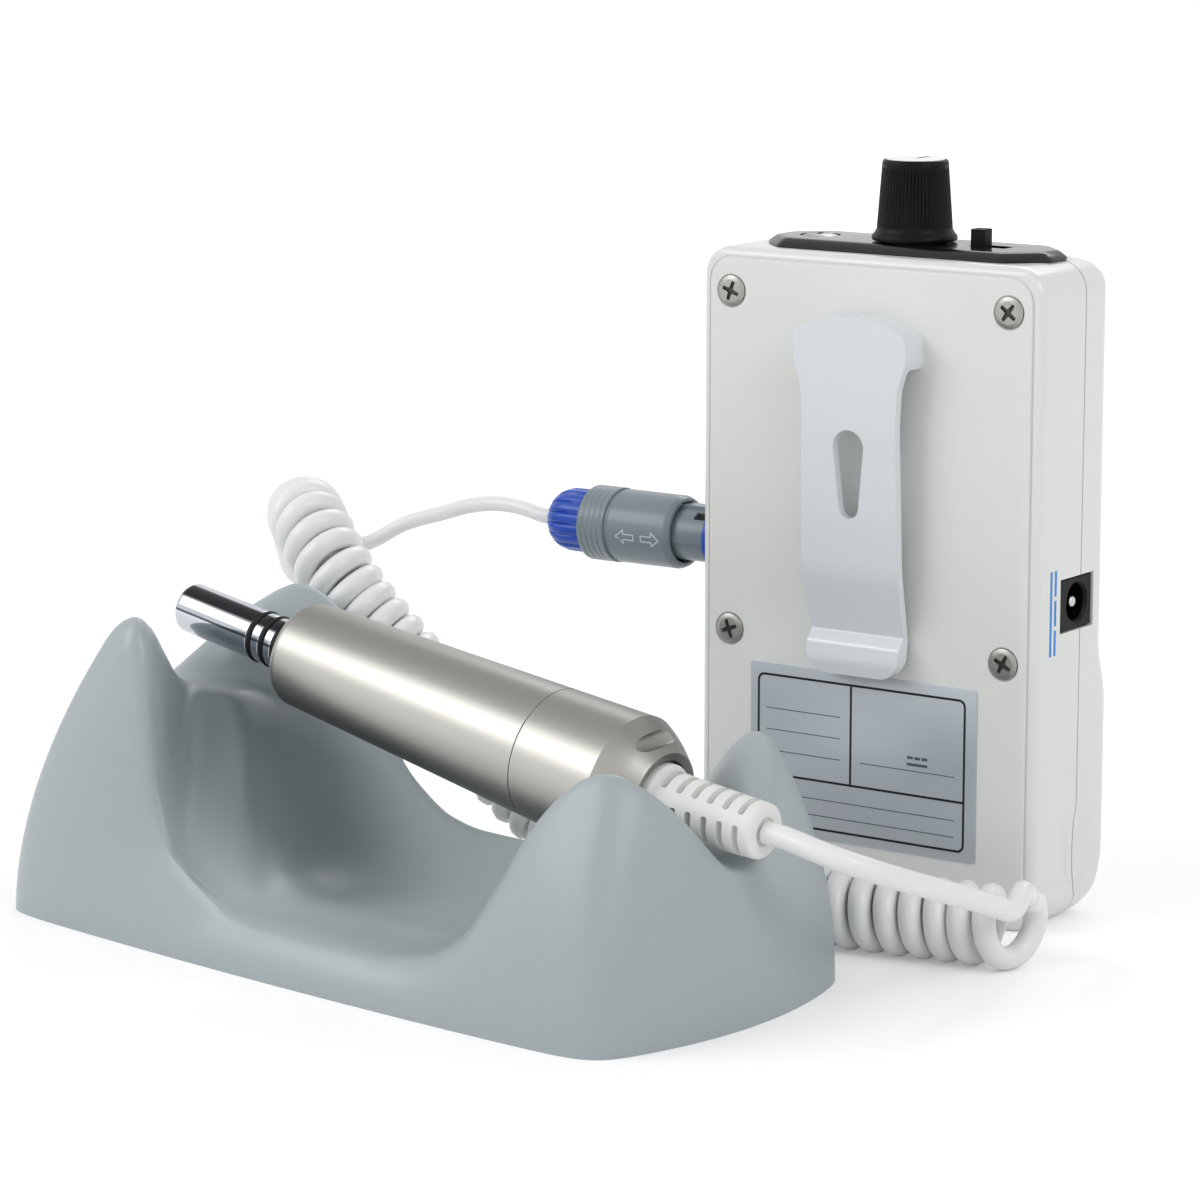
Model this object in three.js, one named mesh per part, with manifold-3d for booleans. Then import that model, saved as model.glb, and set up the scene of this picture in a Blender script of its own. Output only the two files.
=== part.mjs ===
// A cordless dental laboratory micromotor set: a pocket control box, a motor handpiece on its cradle,
// and the curly cord that joins them. Millimetres, +Z up. The origin is on the floor under the middle
// of the control box, +X points to its charging socket and -Y to its belt clip.
import * as THREE from "three";
import { mergeVertices } from "three/addons/utils/BufferGeometryUtils.js";
import Module from "manifold-3d";

const wasm = await Module();
wasm.setup();

// Clearances shared by all pieces
const gap = 0.3;
const seatGap = 0.35;
const overrun = 1;
const weld = 0.0005;

// Control box
const shell = {
  width: 70,
  depth: 24.8,
  height: 117,
  wall: 2,
  sideRound: 5.5,
  clipRound: 1.6,
  frontRound: 4,
  innerRound: 0.6,
  footRound: 12,
  baySwell: 2.4,
  bayTop: 38,
  bayBlend: 11,
  clipFace: -12.2,
  seam: 2.7,
  panelRim: 2,
  panelRise: 0.4,
  recessHigh: 17,
  recessWide: 7,
  recessLow: 3.7,
  recessDeep: 0.7,
};
const screw = {
  sideInset: 6.5,
  topInset: 7.9,
  pitch: 61.3,
  headRadius: 2.8,
  headHeight: 0.9,
  headCrown: 0.35,
  shankRadius: 1.3,
  length: 19,
  bossRadius: 3.1,
};
const label = { left: -23.7, right: 23.6, low: 11.3, high: 42.6, corner: 1.2, thickness: 0.15 };

// Top plate with its knob, switch and screw
const bezel = {
  leftInset: 8,
  rightInset: 4,
  halfDepth: 9.2,
  chamfer: 4,
  floor: 1,
  height: 1.7,
  rim: 1.3,
  edge: 0.4,
  screwFromLeft: 9.1,
  screwHeadRadius: 3.4,
  screwHeadHeight: 1.5,
  screwShankRadius: 1.3,
  screwLength: 8,
  screwBossRadius: 2.3,
};
const knob = {
  along: 1.8,
  lift: 0.9,
  skirtRadius: 7.6,
  skirtHeight: 1,
  footRadius: 6.7,
  topRadius: 5.9,
  height: 14.3,
  crownHeight: 0.6,
  flutes: 26,
  fluteDepth: 0.35,
  capRadius: 5.2,
  capDepth: 0.8,
  capProud: 0.1,
  counterboreRadius: 6.1,
  counterboreDepth: 1.3,
  boreEnd: 2.4,
};
const pot = {
  bodyRadius: 8,
  bodyHeight: 8,
  shaftRadius: 3,
  shaftFoot: 1.5,
  bushRadius: 3.6,
  nutAcross: 10,
  nutHeight: 1.7,
};
const toggle = {
  along: 15.4,
  travel: 4,
  pegLength: 2.8,
  pegWidth: 3,
  pegTop: 4.7,
  footLength: 3.6,
  footHeight: 1.6,
  bodyLength: 12,
  bodyWidth: 6.6,
  bodyHeight: 6.5,
  bodyWall: 1.4,
};

// Inside the control box
const cell = { sideRoom: 8, height: 38, thickness: 4.8, count: 4, corner: 2, tabWidth: 6, tabHeight: 0.3 };
const cellRest = { spread: 30, width: 3 };
const guard = { width: 36, depth: 14, thickness: 1, lift: 0.6 };
const board = {
  left: -19,
  rightInset: 2.6,
  low: 51.6,
  topInset: 15,
  thickness: 1.6,
  corner: 1,
  postRadius: 2.4,
  postInset: 4,
};
const chip = { along: -4, topInset: 20, size: 10, thickness: 2.2 };
const sink = { size: 13, base: 1.5, fins: 5, finHeight: 5, finWidth: 1.2 };
const capacitor = { along: 14, topInset: 18, radius: 4, length: 11.5, topRound: 0.5 };
const jack = {
  depth: 14,
  recess: 0.8,
  low: 52.8,
  height: 9,
  width: 11,
  boreAcross: 1.9,
  boreOffset: 6,
  boreRadius: 3.25,
  boreDepth: 10,
  pinRadius: 1.05,
  pinRecess: 0.6,
};

// Motor socket on the box's other side
const socket = {
  across: -3.45,
  height: 62.5,
  boreRadius: 5.3,
  bodyRadius: 6.1,
  ringRadius: 6.5,
  ringRound: 0.4,
  ringHeight: 1.8,
  bodyLength: 14,
  flangeRadius: 7.6,
  flangeHeight: 1.6,
  contactDisc: 1.6,
  contacts: 5,
  contactRadius: 0.5,
  contactCircle: 2.2,
  contactLength: 5,
  keyWidth: 3,
  keyRise: 0.45,
};

// Plug, partly drawn out of the socket
const plug = {
  drawn: 7.2,
  noseRadius: 5,
  noseTipRound: 0.5,
  engaged: 6.6,
  cupRadius: 3.6,
  cupDepth: 8,
  insertRadius: 3.2,
  insertLength: 1.2,
  tailRadius: 4.3,
  tailLength: 20,
  keyBack: 1,
  mouthRadius: 6.3,
  mouthBore: 5.6,
  mouthDepth: 6,
  sleeveLength: 14.4,
  sleeveRadius: 6.85,
  bandLength: 5.9,
  bandRadius: 7,
  bandRidges: 5,
  ridgeDepth: 0.3,
  bandBore: 6.25,
  nutRadius: 5.9,
  nutLength: 8.1,
  nutFlutes: 10,
  fluteDepth: 0.45,
  nutDome: 4,
  nutEndRadius: 2.4,
  nutBore: 4.6,
  pull: 2,
};

// Belt clip
const clip = {
  faceOut: 6.4,
  thickness: 1.7,
  rootLow: 98.2,
  rootShoulder: 103.8,
  rootTop: 107,
  rootHalf: 11.5,
  rootRound: 1,
  waistHigh: 87,
  waistHalf: 9.6,
  flareLow: 60,
  flareHalf: 10,
  slopeLow: 63,
  slopeOut: 4.6,
  crease: 50.5,
  creaseOut: 2.3,
  lipLow: 43,
  lipOut: 3.9,
  lipHalf: 9.5,
  lipRound: 4,
  holeTop: 87.1,
  holeLow: 71.4,
  holeRadius: 3.15,
  holeTipRadius: 1.4,
};

// Handpiece, measured along its axis from the front shoulder
const motor = {
  along: -21.5,
  height: 49.15,
  tilt: THREE.MathUtils.degToRad(10.05),
  wall: 1.1,
  noseLength: 28.5,
  noseRadius: 4.75,
  noseTip: 1.1,
  noseBore: 2.9,
  shaftBore: 2,
  shoulderRadius: 9.3,
  shoulderRound: 2.5,
  seam: 56,
  bellyAlong: 70,
  bellyRadius: 12.2,
  tailAlong: 85.5,
  tailRadius: 5.9,
  flangeLength: 6.4,
  ringPlaces: [-11, -7.3, -4.3],
  ringRadius: 0.45,
  ringBite: 0.7,
  bore: 8.2,
  scallops: 6,
  scallopAlong: 79.5,
  scallopLength: 9,
  scallopWidth: 5,
  scallopDepth: 0.9,
};
const tailDomeShares = [
  [0.26, 0.975],
  [0.52, 0.9],
  [0.77, 0.72],
  [0.92, 0.56],
];
const rotor = {
  shaftRadius: 1.5,
  shaftFront: -18.5,
  shaftBack: 66.4,
  coreRadius: 6.2,
  coreFront: 13,
  coreBack: 43,
  slots: 7,
  slotWidth: 1.2,
  slotDepth: 2.6,
  commutatorRadius: 3.3,
  commutatorFront: 45.5,
  commutatorBack: 53.5,
  dogRadius: 2.5,
  dogFront: -26.8,
  dogSlotWidth: 1.4,
  dogSlotDepth: 3,
};
const magnet = { front: 12, back: 44, inner: 6.6, outer: 7.9 };
const bearing = { radius: 5.5, bore: 1.8, width: 4, front: 4.6, back: 61.9, groove: 0.5 };
const brush = { front: 48.2, width: 2.6, length: 3.2, height: 2.4 };
const brushRing = { front: 46.8, back: 52.2, inner: 3.7, outer: 7.9 };
const boot = {
  along: 84,
  lift: THREE.MathUtils.degToRad(4.25),
  rootLength: 3.6,
  length: 20.7,
  rootRadius: 4.75,
  collarLength: 3.2,
  endRadius: 4.15,
  core: 2.5,
  slotWidth: 1.15,
  slotPitch: 2.25,
  slots: 7,
  slotStart: 4.2,
};

// Cradle, in its own frame: u runs along it, v to its back
const cradle = {
  across: -81.1,
  along: -52,
  turn: THREE.MathUtils.degToRad(-4),
  leftReach: 74.5,
  rightReach: 78.6,
  leftBow: 4.5,
  rightBow: 7.3,
  halfWidth: 32.2,
  leftHorn: 56.2,
  rightHorn: 43.9,
  leftLean: 26.4,
  rightLean: 5,
  leftSideLean: 5.5,
  rightSideLean: 12,
  waistLean: 3,
  leftSaddle: 41,
  rightSaddle: 27.6,
  tubFloor: 7,
  frontWaist: 8.5,
  backWaist: 15,
  edgeRound: 3,
  lengthSteps: 17,
  widthSteps: 6,
  wallRings: 4,
};
const planShares = {
  taper: 0.132,
  curve: 0.082,
  corner: 18,
  endPower: 1.7,
  sidePower: 2.4,
  crowding: 0.3,
  edge: 0.15,
};
// Height of a rim or of the middle line against its place along the cradle, as shares of both
const frontLeftRimShares = [
  [-1, 0.93],
  [-0.92, 0.99],
  [-0.85, 1],
  [-0.81, 0.84],
  [-0.78, 0.57],
  [-0.735, 0.3],
  [-0.64, 0.12],
  [-0.53, 0.045],
  [-0.38, 0.01],
  [0, 0],
];
const backLeftRimShares = [
  [-1, 0.93],
  [-0.93, 0.985],
  [-0.856, 1],
  [-0.75, 0.95],
  [-0.65, 0.66],
  [-0.53, 0.25],
  [-0.445, 0.14],
  [-0.34, 0.055],
  [-0.22, 0.015],
  [0, 0],
];
const rightRimShares = [
  [0, 0],
  [0.2, 0],
  [0.31, 0.02],
  [0.42, 0.07],
  [0.54, 0.22],
  [0.64, 0.48],
  [0.73, 0.74],
  [0.81, 0.9],
  [0.88, 0.98],
  [0.94, 1],
  [1, 0.96],
];
const leftSpineShares = [
  [-1, 0.98],
  [-0.9, 1],
  [-0.77, 1],
  [-0.63, 0.985],
  [-0.56, 0.87],
  [-0.49, 0.6],
  [-0.42, 0.32],
  [-0.34, 0.1],
  [-0.25, 0.02],
  [0, 0],
];
const rightSpineShares = [
  [0, 0],
  [0.34, 0.01],
  [0.48, 0.1],
  [0.6, 0.35],
  [0.72, 0.7],
  [0.8, 0.88],
  [0.9, 0.98],
  [1, 1],
];
// Rise from the middle line to the rim, over half the width
const acrossShares = [
  [0, 0],
  [0.12, 0.03],
  [0.24, 0.15],
  [0.36, 0.36],
  [0.48, 0.58],
  [0.6, 0.76],
  [0.72, 0.9],
  [0.84, 1],
  [0.92, 0.97],
  [1, 0.8],
];

// Cord
const cord = {
  leadRadius: 1.95,
  leadSides: 10,
  leadSteps: 16,
  thinRadius: 1.45,
  thinSides: 8,
  thinSteps: 24,
};
const curl = {
  radius: 5.3,
  wireRadius: 1.65,
  floorTurns: 20,
  turns: 37,
  startAngle: THREE.MathUtils.degToRad(5),
  stepsPerTurn: 8,
  sides: 5,
};
const curlShares = { first: 1.75, arch: 1.5 };
const coilAxis = [
  [46.5, -33.2, 7.25],
  [37, -33.6, 7.25],
  [14, -37.1, 7.25],
  [-9, -37.6, 7.25],
  [-30, -37.6, 8.2],
  [-48, -38.1, 14.2],
  [-64, -40.1, 26.5],
  [-78, -42.6, 39.8],
  [-88.6, -44, 49.7],
  [-95.8, -43.7, 57.3],
  [-104, -39.5, 63.4],
  [-112.5, -30.5, 62.8],
  [-119.5, -20.5, 57.5],
  [-124.5, -12.5, 50.5],
];
const leadRoute = [
  [40.8, -86.6, 30.2],
  [46.6, -81, 27.2],
  [49.8, -72, 23.6],
  [50.7, -61, 19.6],
  [50.2, -51, 16],
  [48.9, -43, 13.6],
];
const thinRoute = [
  [-80.5, -3.45, 63.3],
  [-87, -3.3, 63.7],
  [-94, -2.7, 62.7],
  [-102, -1.9, 60.3],
  [-111, -2, 57.4],
];

// Colours and finishes
const finish = (color, roughness, metalness = 0) =>
  new THREE.MeshStandardMaterial({ color, roughness, metalness });

// Helpers that turn three.js geometry into solids that can be joined and cut
function solid(geometry) {
  const bare = geometry.index ? geometry.toNonIndexed() : geometry.clone();
  for (const name of Object.keys(bare.attributes)) if (name !== "position") bare.deleteAttribute(name);
  const merged = mergeVertices(bare, weld);
  const corners = merged.index.array;
  const faces = [];
  for (let i = 0; i < corners.length; i += 3) {
    const [a, b, c] = [corners[i], corners[i + 1], corners[i + 2]];
    if (a !== b && b !== c && c !== a) faces.push(a, b, c);
  }
  const vertProperties = merged.attributes.position.array;
  const build = (triVerts) =>
    new wasm.Manifold(new wasm.Mesh({ numProp: 3, vertProperties, triVerts: new Uint32Array(triVerts) }));
  const made = build(faces);
  if (made.volume() > 0) return made;
  const turned = [];
  for (let i = 0; i < faces.length; i += 3) turned.push(faces[i], faces[i + 2], faces[i + 1]);
  return build(turned);
}

function geometryOf(shape) {
  const mesh = shape.getMesh();
  const indexed = new THREE.BufferGeometry();
  indexed.setAttribute("position", new THREE.BufferAttribute(new Float32Array(mesh.vertProperties), 3));
  indexed.setIndex(new THREE.BufferAttribute(new Uint32Array(mesh.triVerts), 1));
  const flat = indexed.toNonIndexed();
  flat.computeVertexNormals();
  return flat;
}

const pieces = new THREE.Group();
function piece(name, shape, material, parent = pieces) {
  const mesh = new THREE.Mesh(geometryOf(shape), material);
  mesh.name = name;
  parent.add(mesh);
  return mesh;
}

const join = (...shapes) => shapes.reduce((all, one) => all.add(one));
const cut = (shape, ...tools) => tools.reduce((left, tool) => left.subtract(tool), shape);

// Axis frames: an outline drawn in the named plane is extruded along the third axis
const planes = {
  xy: new THREE.Matrix4(),
  xz: new THREE.Matrix4().makeBasis(
    new THREE.Vector3(1, 0, 0),
    new THREE.Vector3(0, 0, 1),
    new THREE.Vector3(0, -1, 0),
  ),
  yz: new THREE.Matrix4().makeBasis(
    new THREE.Vector3(0, 1, 0),
    new THREE.Vector3(0, 0, 1),
    new THREE.Vector3(1, 0, 0),
  ),
};

function prism(plane, outline, from, to, curveSegments = 4) {
  const shape = Array.isArray(outline)
    ? new THREE.Shape(outline.map(([x, y]) => new THREE.Vector2(x, y)))
    : outline;
  const geometry = new THREE.ExtrudeGeometry(shape, {
    depth: to - from,
    bevelEnabled: false,
    curveSegments,
  });
  geometry.translate(0, 0, plane === "xz" ? -to : from);
  return solid(geometry.applyMatrix4(planes[plane]));
}

function box(x0, x1, y0, y1, z0, z1) {
  const geometry = new THREE.BoxGeometry(x1 - x0, y1 - y0, z1 - z0);
  return solid(geometry.translate((x0 + x1) / 2, (y0 + y1) / 2, (z0 + z1) / 2));
}

// A profile of [distance along the axis, radius] points, turned about an axis through `centre`
function turned(axis, profile, centre = [0, 0, 0], segments = 24) {
  const geometry = new THREE.LatheGeometry(
    profile.map(([along, radius]) => new THREE.Vector2(Math.max(radius, 0), along)),
    segments,
  );
  if (axis === "x") geometry.rotateZ(-Math.PI / 2);
  if (axis === "z") geometry.rotateX(Math.PI / 2);
  return solid(geometry.translate(...centre));
}

function rod(axis, radius, from, to, centre, segments = 16) {
  const profile = [
    [from, 0],
    [from, radius],
    [to, radius],
    [to, 0],
  ];
  return turned(axis, profile, centre, segments);
}

const ringProfile = (from, to, inner, outer) => [
  [from, inner],
  [from, outer],
  [to, outer],
  [to, inner],
  [from, inner],
];

function roundedOutline(left, right, low, high, radius) {
  const shape = new THREE.Shape();
  shape.absarc(right - radius, low + radius, radius, -Math.PI / 2, 0);
  shape.absarc(right - radius, high - radius, radius, 0, Math.PI / 2);
  shape.absarc(left + radius, high - radius, radius, Math.PI / 2, Math.PI);
  shape.absarc(left + radius, low + radius, radius, Math.PI, 1.5 * Math.PI);
  return shape;
}

// Rings of equally many points, joined side by side and closed by a fan at each end
function loft(rings) {
  const count = rings[0].length;
  const points = rings.flat();
  const middle = (ring) =>
    ring.reduce((sum, point) => sum.add(point), new THREE.Vector3()).divideScalar(count);
  const first = points.push(middle(rings[0])) - 1;
  const last = points.push(middle(rings[rings.length - 1])) - 1;
  const faces = [];
  for (let i = 0; i < count; i += 1) {
    const next = (i + 1) % count;
    for (let row = 0; row + 1 < rings.length; row += 1) {
      const [a, b] = [row * count + i, row * count + next];
      faces.push(a, b, b + count, a, b + count, a + count);
    }
    const top = (rings.length - 1) * count;
    faces.push(first, next, i, last, top + i, top + next);
  }
  const geometry = new THREE.BufferGeometry().setFromPoints(points);
  geometry.setIndex(faces);
  return solid(geometry);
}

// A smooth curve without overshoot through [place, value] points
function follow(table, place) {
  const last = table.length - 1;
  if (place <= table[0][0]) return table[0][1];
  if (place >= table[last][0]) return table[last][1];
  const i = table.findIndex(([at]) => at > place) - 1;
  const slope = (k) => (table[k + 1][1] - table[k][1]) / (table[k + 1][0] - table[k][0]);
  const tangent = (k) => {
    if (k === 0) return slope(0);
    if (k === last) return slope(last - 1);
    const [before, after] = [slope(k - 1), slope(k)];
    return before * after <= 0 ? 0 : (2 * before * after) / (before + after);
  };
  const span = table[i + 1][0] - table[i][0];
  const t = (place - table[i][0]) / span;
  const [t2, t3] = [t * t, t * t * t];
  return (
    (2 * t3 - 3 * t2 + 1) * table[i][1] +
    (t3 - 2 * t2 + t) * span * tangent(i) +
    (3 * t2 - 2 * t3) * table[i + 1][1] +
    (t3 - t2) * span * tangent(i + 1)
  );
}

// How far a rounded edge draws in at a distance from its end
function drawIn(distance, radius) {
  const left = radius - Math.max(distance, 0);
  return left <= 0 ? 0 : radius - Math.sqrt(radius ** 2 - left ** 2);
}

// The case's form, drawn in by `inset` on every side
function caseForm(inset) {
  const round = (radius) => Math.max(radius - inset, shell.innerRound);
  const [low, high] = [inset, shell.height - inset];
  const frontFace = shell.clipFace + shell.depth;
  const heights = [];
  for (const angle of inset > 0 ? [0, 45, 90] : [0, 20, 42, 66, 90]) {
    const share = 1 - Math.cos(THREE.MathUtils.degToRad(angle));
    heights.push(low + round(shell.footRound) * share);
  }
  for (const share of inset > 0 ? [0, 1] : [0, 0.33, 0.67, 1]) {
    heights.push(shell.bayTop + shell.bayBlend * share);
  }
  for (const angle of inset > 0 ? [90, 45, 0] : [90, 60, 30, 0]) {
    const share = 1 - Math.cos(THREE.MathUtils.degToRad(angle));
    heights.push(high - round(shell.sideRound) * share);
  }
  const rings = heights.map((z) => {
    const blend = THREE.MathUtils.smoothstep(shell.bayTop + shell.bayBlend - z, 0, shell.bayBlend);
    const edge = (radius, from) => drawIn(from, round(radius));
    const half = shell.width / 2 - inset - edge(shell.sideRound, z - low) - edge(shell.sideRound, high - z);
    const near =
      shell.clipFace + inset + edge(shell.clipRound, z - low) + edge(shell.clipRound, high - z);
    const far =
      frontFace + shell.baySwell * blend - inset - edge(shell.footRound, z - low) -
      edge(shell.frontRound, high - z);
    const corners = [
      [half, far, round(shell.frontRound), 0],
      [-half, far, round(shell.frontRound), 1],
      [-half, near, round(shell.clipRound), 2],
      [half, near, round(shell.clipRound), 3],
    ];
    return corners.flatMap(([x, y, radius, quarter]) =>
      (inset > 0 ? [0, 90] : [0, 30, 60, 90]).map((step) => {
        const angle = THREE.MathUtils.degToRad(quarter * 90 + step);
        return new THREE.Vector3(
          x - Math.sign(x) * radius + radius * Math.cos(angle),
          y + (quarter < 2 ? -radius : radius) + radius * Math.sin(angle),
          z,
        );
      }),
    );
  });
  return loft(rings);
}

// Places that several pieces share
const panelFace = shell.clipFace - shell.panelRise;
const clipInside = shell.clipFace + shell.wall;
const ceiling = shell.height - shell.wall;
const side = shell.width / 2;
const sideInside = side - shell.wall;
const screwPlaces = [];
const screwHigh = shell.height - screw.topInset;
for (const height of [screwHigh, screwHigh - screw.pitch])
  for (const sign of [-1, 1]) screwPlaces.push([sign * (shell.width / 2 - screw.sideInset), 0, height]);
const stackDepth = cell.count * cell.thickness + (cell.count - 1) * gap;
const stackNear = clipInside + gap;
const cellLow = shell.footRound / 2;
const cellHigh = cellLow + cell.height;
const bezelFloor = shell.height + bezel.floor;
const bezelTop = shell.height + bezel.height;
const cellHalf = shell.width / 2 - cell.sideRoom;
const boardRight = shell.width / 2 - board.rightInset;
const boardHigh = shell.height - board.topInset;
const chipHeight = boardHigh - chip.topInset;
const capacitorHeight = boardHigh - capacitor.topInset;
const bezelLeft = bezel.leftInset - shell.width / 2;
const bezelRight = shell.width / 2 - bezel.rightInset;
const bezelScrewAlong = bezelLeft + bezel.screwFromLeft;
const jackNear = jack.boreAcross - jack.boreOffset;
const jackHeight = jack.low + jack.height / 2;
const boardFar = jackNear;
const boardNear = boardFar - board.thickness;
const socketAxis = [0, socket.across, socket.height];

const whiteShell = finish(0xe6e7e4, 0.45);
const clearWhite = finish(0xdfe2e5, 0.25);
const blackGloss = finish(0x141517, 0.2);
const steel = finish(0xc9ccd0, 0.25, 1);
const brass = finish(0xc9a24a, 0.35, 1);
const blue = finish(0x2456c8, 0.35);
const plugGrey = finish(0x7b868c, 0.5);
const motorGrey = finish(0xb8b2ac, 0.4, 0.2);
const cordWhite = finish(0xf2f3f2, 0.5);
const circuitGreen = finish(0x1f6b43, 0.5);
const darkPlastic = finish(0x26282b, 0.5);

function controlBox() {
  const hollow = cut(caseForm(0), caseForm(shell.wall));
  const rim = shell.panelRim;
  const panelOutline = roundedOutline(
    -side + rim, side - rim, rim, shell.height - rim, shell.sideRound - rim / 2,
  );
  const panel = prism("xz", panelOutline, panelFace, shell.clipFace + shell.wall / 2);
  const reach = shell.depth + shell.baySwell;
  const clipHalf = box(-side, side, panelFace, shell.seam - gap / 2, 0, shell.height);
  const frontHalf = box(-side, side, shell.seam + gap / 2, reach, 0, shell.height);
  const wallMiddle = shell.clipFace + shell.depth - shell.wall / 2;

  // Openings through the walls
  const jackHole = box(
    sideInside - overrun, side + overrun,
    jackNear - gap, jackNear + jack.width + gap,
    jack.low - gap, jack.low + jack.height + gap,
  );
  const socketHole = rod("x", socket.bodyRadius + gap, -side - overrun, -sideInside + overrun, socketAxis);
  const bushHole = rod(
    "z", pot.bushRadius + gap, ceiling - overrun, shell.height + overrun, [knob.along, 0, 0],
  );
  const slot = toggle.pegLength / 2 + gap;
  const toggleHole = box(
    toggle.along - slot, toggle.along + toggle.travel + slot,
    -toggle.pegWidth / 2 - gap, toggle.pegWidth / 2 + gap,
    ceiling - overrun, shell.height + overrun,
  );
  const fastener = screw.shankRadius + gap;
  const screwHoles = screwPlaces.map((place) =>
    rod("y", fastener, panelFace - overrun, panelFace + screw.length + gap, place, 12),
  );
  const bezelScrewHole = rod(
    "z", bezel.screwShankRadius + gap,
    bezelFloor - bezel.screwLength - gap, shell.height + overrun,
    [bezelScrewAlong, 0, 0], 12,
  );
  const recesses = [-1, 1].map((sign) => {
    const outline = new THREE.Shape();
    outline.absellipse(
      shell.seam, shell.recessLow + shell.recessHigh / 2,
      shell.recessWide / 2, shell.recessHigh / 2, 0, 2 * Math.PI,
    );
    const inner = side - shell.recessDeep;
    return sign > 0
      ? prism("yz", outline, inner, side + overrun)
      : prism("yz", outline, -side - overrun, -inner);
  });

  // Bosses, posts and battery rests inside
  const wallHalf = shell.wall / 2;
  const clipBosses = screwPlaces.map((place) =>
    rod("y", screw.bossRadius, shell.clipFace + wallHalf, shell.seam - gap / 2, place, 16),
  );
  const frontBosses = screwPlaces.map((place) =>
    rod("y", screw.bossRadius, shell.seam + gap / 2, wallMiddle, place, 16),
  );
  const bezelBoss = rod(
    "z", bezel.screwBossRadius,
    bezelFloor - bezel.screwLength - shell.wall, ceiling + wallHalf,
    [bezelScrewAlong, 0, 0], 16,
  );
  const postPlaces = [
    [board.left + board.postInset, 0, boardHigh - board.postInset],
    [boardRight - board.postInset - jack.recess, 0, boardHigh - board.postInset],
    [board.left + board.postInset, 0, board.low + board.postInset],
  ];
  const posts = postPlaces.map((place) =>
    rod("y", board.postRadius, shell.clipFace + wallHalf, boardNear, place, 12),
  );
  const rest = (sign, near, far) =>
    box(
      (sign * cellRest.spread - cellRest.width) / 2, (sign * cellRest.spread + cellRest.width) / 2,
      near, far, shell.wall / 2, cellLow - gap,
    );
  const clipRests = [-1, 1].map((sign) => rest(sign, clipInside - wallHalf, shell.seam - gap / 2));
  const frontRests = [-1, 1].map((sign) =>
    rest(sign, shell.seam + gap / 2, stackNear + stackDepth),
  );

  const outside = caseForm(0);
  const clipShell = cut(
    join(hollow, panel, ...clipBosses, bezelBoss, ...posts, ...clipRests).intersect(clipHalf),
    jackHole, socketHole, bushHole, toggleHole, bezelScrewHole, ...screwHoles, ...recesses,
  );
  const frontShell = cut(
    join(hollow, ...frontBosses, ...frontRests).intersect(frontHalf).intersect(outside),
    jackHole, socketHole, bushHole, ...screwHoles, ...recesses,
  );
  piece("rear_shell", clipShell, whiteShell);
  piece("front_shell", frontShell, whiteShell);

  screwPlaces.forEach((place, i) => {
    const head = [
      [-screw.headHeight, 0],
      [-screw.headHeight, screw.headRadius - 2 * screw.headCrown],
      [-screw.headHeight + screw.headCrown, screw.headRadius - screw.headCrown / 2],
      [0, screw.headRadius],
      [0, screw.shankRadius],
      [screw.length, screw.shankRadius],
      [screw.length, 0],
    ];
    piece(`case_screw_${i + 1}`, turned("y", head, [place[0], panelFace, place[2]], 16), steel);
  });

  const labelOutline = roundedOutline(label.left, label.right, label.low, label.high, label.corner);
  piece("rating_label", prism("xz", labelOutline, panelFace - label.thickness, panelFace), steel);
}

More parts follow.
